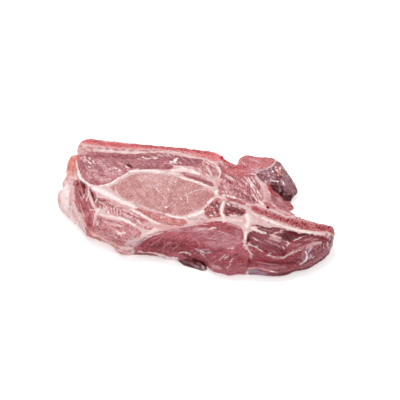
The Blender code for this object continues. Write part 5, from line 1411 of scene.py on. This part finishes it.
def finish(tree, fields, look, colour, height):     # moist tissue under a film of juice
    bare = shown(tree, fields)
    mirrored = addNode(tree, "Math", {"operation": "MULTIPLY", 1: gloss["mirror"]}, {0: bare})
    juice = addNode(tree, "Math", {"operation": "MULTIPLY", 1: look["juice"]}, {0: bare})
    patches = addNode(tree, "TexNoise", {"Scale": gloss["patches"], "Detail": 3.0},
                      {"Vector": fields["flat"]})
    wetter, drier = (look["roughness"] + change for change in gloss["patchy"])
    dry = addNode(tree, "MapRange", {"From Min": 0.35, "From Max": 0.65, "To Min": wetter, "To Max": drier},
                  {"Value": patches})
    roughness = addNode(tree, "Math", {"operation": "MULTIPLY_ADD", 1: gloss["wetMark"]},
                        {0: fields["wet"], 2: dry})
    bump = addNode(tree, "Bump", {"Strength": 1.0, "Distance": look["bump"] * mm}, {"Height": height})
    ripples = addNode(tree, "TexNoise", {"Scale": gloss["ripples"], "Detail": 2.0},
                      {"Vector": fields["flat"]})
    film = addNode(tree, "Bump", {"Strength": 1.0, "Distance": look["film"] * mm},
                   {"Height": ripples, "Normal": bump})
    shader = addNode(tree, "BsdfPrincipled", {
        "IOR": 1.4, "Metallic": 0.0, "Subsurface Weight": look["depth"], "Subsurface Scale": 1.2 * mm,
        "Subsurface Radius": (1.0, 0.35, 0.25), "Coat Roughness": 0.08, "Coat IOR": 1.33,
    }, {"Base Color": colour, "Roughness": roughness, "Normal": bump, "Coat Normal": film,
        "Specular IOR Level": mirrored, "Coat Weight": juice})
    addNode(tree, "OutputMaterial", None, {"Surface": shader})


lean = {
    "contrast": 0.35, "threads": 3.2, "threadWidth": 0.035, "fat": 0.5, "threadColour": "#ddb9b8",
    "marbleSize": 2.2, "marbling": 0.3, "marbleColour": "#d3a3a2",
    "speckSize": 1.5, "specks": 0.66, "rim": 0.15, "rimColour": "#d3a5a3",
    "roughness": 0.42, "bump": 0.35, "film": 0.5, "depth": 0.1, "juice": 0.4,
}
darkLean = {
    "threadColour": "#c0848a", "fat": 0.3, "marbling": 0.16, "marbleColour": "#ad727a",
    "rimColour": "#b0747a",
}


def cutLean(name, piece):
    # raw pork lean cut with a knife: moist fibre bundles with threads of fat between them, which show as a
    # fine pale net where the cut crosses the fibres, and as streaks where it runs along them
    material, tree, fields = startMaterial(name)
    look = {**lean, **({} if piece["slot"] == "pale_lean" else darkLean), **piece.get("look", {})}
    length, width, _, angle = piece["grain"]
    fibres = addNode(tree, "TexNoise", {"Scale": 1.0, "Detail": 3.0, "Roughness": 0.65},
                     {"Vector": along(tree, fields, length, width, angle)})
    bare = swung(tree, fields, fibres, 0.38, 0.62, look["contrast"])
    stretched = look["threads"] * max(length / width / 3, 1)
    net = addNode(tree, "TexNoise", {"Scale": 1.0, "Detail": 2.0, "Roughness": 0.5, "Distortion": 0.6},
                  {"Vector": along(tree, fields, stretched, look["threads"], angle)})
    centred = addNode(tree, "Math", {"operation": "SUBTRACT", 1: 0.5}, {0: net})
    threads = addNode(tree, "Math", {"operation": "ABSOLUTE"}, {0: centred})
    streaks = addNode(tree, "TexNoise", {"Scale": 1.0, "Detail": 4.0, "Roughness": 0.62},
                      {"Vector": along(tree, fields, 2.2 * look["marbleSize"], look["marbleSize"], angle)})
    dots = addNode(tree, "TexNoise", {"Scale": 1 / look["speckSize"], "Detail": 1.0},
                   {"Vector": fields["flat"]})
    border = addNode(tree, "Math", {"operation": "MULTIPLY_ADD", 1: -1.6}, {0: dots, 2: fields["seam"]})
    covered = bare
    for source, low, high, start, end, colour in (
            (threads, 0.0, look["threadWidth"], look["fat"], 0.0, "threadColour"),
            (streaks, 0.5, 0.68, 0.0, look["marbling"], "marbleColour"),
            (dots, look["specks"], look["specks"] + 0.06, 0.0, 0.6, "threadColour"),
            (border, -0.9, 0.2, look["rim"], 0.0, "rimColour")):
        covered = layOver(tree, covered, source, low, high, start, end, look[colour])
    whole = addNode(tree, "Mix", {"data_type": "RGBA"}, {0: shown(tree, fields), 6: bare, 7: covered})
    finish(tree, fields, look, whole, addNode(tree, "Math", {"operation": "ADD"}, {0: fibres, 1: dots}))
    return material


fat = {
    "lobeSize": 2.4, "veinSize": 3.5, "veins": 0.35, "veinColour": "#c97f7b",
    "roughness": 0.42, "bump": 0.25, "film": 0.4, "depth": 0.15, "juice": 0.3,
}


def softFat(name, piece):
    # pork back fat and seam fat: soft, slightly greasy, creamy white with pink tissue and blood vessels in it
    material, tree, fields = startMaterial(name)
    look = {**fat, **piece.get("look", {})}
    lobes = addNode(tree, "TexNoise", {"Scale": 1 / look["lobeSize"], "Detail": 4.0, "Roughness": 0.6},
                    {"Vector": fields["flat"]})
    shade = addNode(tree, "MapRange", {"From Min": 0.3, "From Max": 0.7, "To Min": 0.86, "To Max": 1.12},
                    {"Value": lobes})
    toned = addNode(tree, "VectorMath", {"operation": "SCALE"}, {0: fields["tint"], "Scale": shade})
    veins = addNode(tree, "TexNoise", {"Scale": 1 / look["veinSize"], "Detail": 3.0, "Distortion": 0.8},
                    {"Vector": fields["flat"]})
    veined = layOver(tree, toned, veins, 0.56, 0.7, 0.0, look["veins"], look["veinColour"])
    finish(tree, fields, look, veined, lobes)
    return material


bone = {
    "cellSize": 1.7, "holes": 0.6, "holeColour": "#8c1f26", "contrast": 0.5,
    "roughness": 0.5, "bump": 0.4, "film": 0.4, "depth": 0.1, "juice": 0.25,
}


def sawnBone(name, piece):
    # spongy bone cut with a band saw: red marrow in small holes between pale walls, smeared by the blade
    material, tree, fields = startMaterial(name)
    look = {**bone, **piece.get("look", {})}
    cells = addNode(tree, "TexVoronoi", {"feature": "F1", "Scale": 1 / look["cellSize"], "Randomness": 1.0},
                    {"Vector": fields["flat"]})
    hole = addNode(tree, "MapRange", {"From Min": 0.2, "From Max": 0.55, "To Min": look["holes"],
                                      "To Max": 0.0}, {"Value": cells})
    smear = addNode(tree, "TexNoise", {"Scale": 0.7, "Detail": 5.0, "Roughness": 0.75},
                    {"Vector": fields["flat"]})
    where = addNode(tree, "MapRange", {"From Min": 0.4, "From Max": 0.6, "To Min": 0.0, "To Max": 1.0},
                    {"Value": smear})
    marrow = addNode(tree, "Math", {"operation": "MULTIPLY"}, {0: hole, 1: where})
    toned = swung(tree, fields, smear, 0.35, 0.65, -look["contrast"])
    holed = addNode(tree, "Mix", {"data_type": "RGBA", 7: (*hexColour(look["holeColour"]), 1)},
                    {0: marrow, 6: toned})
    finish(tree, fields, look, holed, addNode(tree, "Math", {"operation": "SUBTRACT"}, {0: smear, 1: marrow}))
    return material


finishes = {"bone": sawnBone, "fat": softFat}
for number, piece in enumerate(pieces):
    placePiece(piece, buildPiece(number), finishes.get(piece["slot"], cutLean)(piece["name"], piece))
print("pieces built:", len(pieces))


def buildScrap(piece):
    loop = wander(anticlockwise(smoothLine(piece["outline"], piece["step"])))
    tree = makeFinder([loop])
    low, high = loop.min(0), loop.max(0)
    xs, ys = np.meshgrid(np.arange(low[0], high[0], piece["step"]), np.arange(low[1], high[1], piece["step"]))
    grid = np.column_stack([xs.ravel(), ys.ravel()])
    grid = grid[inLoop(grid, loop)]
    grid = grid[nearestOn(tree, grid)[1] > 0.4 * piece["step"]]
    corners = [Vector(p) for p in np.concatenate([loop, grid])]
    plan, _, faces, _, _, _ = delaunay_2d_cdt(corners, [], [list(range(len(loop)))], 1, 1e-5, False)
    plan, faces = np.array([tuple(p) for p in plan]), np.array(faces)
    near = 1 - np.clip(nearestOn(tree, plan)[1] / piece["slope"], 0, 1)
    top = piece["edge"] + (piece["height"] - piece["edge"]) * np.sqrt(1 - near ** 2)
    length, width, depth, angle = piece["grain"]
    size, rise = piece["lumps"]
    top += depth * grainCloud(plan, length, width, angle, 91, 2) + rise * cloud(plan, size, 92)
    top = np.maximum(top, piece["thinnest"])
    count = len(plan)
    pairs = cornerPairs(faces.tolist())
    border = set(pairs)
    walls = [(b, a, a + count, b + count) for a, b in pairs if (b, a) not in border]
    spots = np.concatenate([np.column_stack([plan, top]), np.column_stack([plan, np.zeros(count)])])
    every = np.concatenate([plan, plan])
    pieces.append(piece)
    tint, _, wet, _ = paintPiece(len(pieces) - 1, every)
    polygons = faces.tolist() + (faces[:, ::-1] + count).tolist() + walls
    return makeMesh(piece, spots, polygons, (tint, every, np.full(2 * count, piece["seam"]), wet))


placePiece(hangingScrap, buildScrap(hangingScrap), cutLean(hangingScrap["name"], hangingScrap))
print("scrap built")

# a plain pale floor under soft daylight from a large window on the left
ground = {"reach": 3.0, "height": -0.0002, "grey": 0.95, "roughness": 0.9, "glow": 0.38}
floorMesh = bpy.data.meshes.new("floor")
floorMesh.from_pydata([(x * ground["reach"], y * ground["reach"], ground["height"])
                       for x, y in ((-1, -1), (1, -1), (1, 1), (-1, 1))], [], [(0, 1, 2, 3)])
floor = bpy.data.objects.new("floor", floorMesh)
bpy.context.collection.objects.link(floor)
floorMaterial = bpy.data.materials.new("matt white board")
floorMaterial.use_nodes = True
board = floorMaterial.node_tree.nodes["Principled BSDF"]    # matt painted board
for socket, value in (("Base Color", (*[ground["grey"]] * 3, 1)), ("Roughness", ground["roughness"]),
                      ("Specular IOR Level", 0.0), ("Emission Color", (1, 1, 1, 1)),
                      ("Emission Strength", ground["glow"])):
    board.inputs[socket].default_value = value
floorMesh.materials.append(floorMaterial)

light = {
    "keyPower": 24.0, "keySize": 0.6, "keyFrom": (-0.5, 0.7, 1.8),
    "fillPower": 4.0, "fillSize": 1.2, "fillFrom": (1.2, -0.6, 1.3),
    "sky": 0.66,
}


def softbox(name, power, size, place):
    lamp = bpy.data.lights.new(name, "AREA")
    lamp.energy = power
    lamp.size = size
    lampObject = bpy.data.objects.new(name, lamp)
    lampObject.location = place
    lampObject.rotation_euler = (-Vector(place)).to_track_quat("-Z", "Y").to_euler()
    bpy.context.collection.objects.link(lampObject)


softbox("window", light["keyPower"], light["keySize"], light["keyFrom"])
softbox("reflector", light["fillPower"], light["fillSize"], light["fillFrom"])
world = bpy.data.worlds.new("studio")
world.use_nodes = True
sky = world.node_tree.nodes["Background"]
sky.inputs["Color"].default_value = (1, 1, 1, 1)
sky.inputs["Strength"].default_value = light["sky"]
bpy.context.scene.world = world
bpy.context.scene.view_settings.view_transform = "Standard"

view = {"lens": 100, "sensor": 36, "azimuth": 8, "elevation": 52, "distance": 0.882,
        "target": (0.0008, -0.0058, 0.02), "shift": (0.01125, 0.01875)}
azimuth, elevation = math.radians(view["azimuth"]), math.radians(view["elevation"])
back = Vector((math.sin(azimuth) * math.cos(elevation), -math.cos(azimuth) * math.cos(elevation),
               math.sin(elevation)))
lens = bpy.data.cameras.new("camera")
lens.lens, lens.sensor_width = view["lens"], view["sensor"]
lens.shift_x, lens.shift_y = view["shift"]
camera = bpy.data.objects.new("camera", lens)
camera.location = Vector(view["target"]) + back * view["distance"]
camera.rotation_euler = back.to_track_quat("Z", "Y").to_euler()
bpy.context.collection.objects.link(camera)
bpy.context.scene.camera = camera

print("finished")
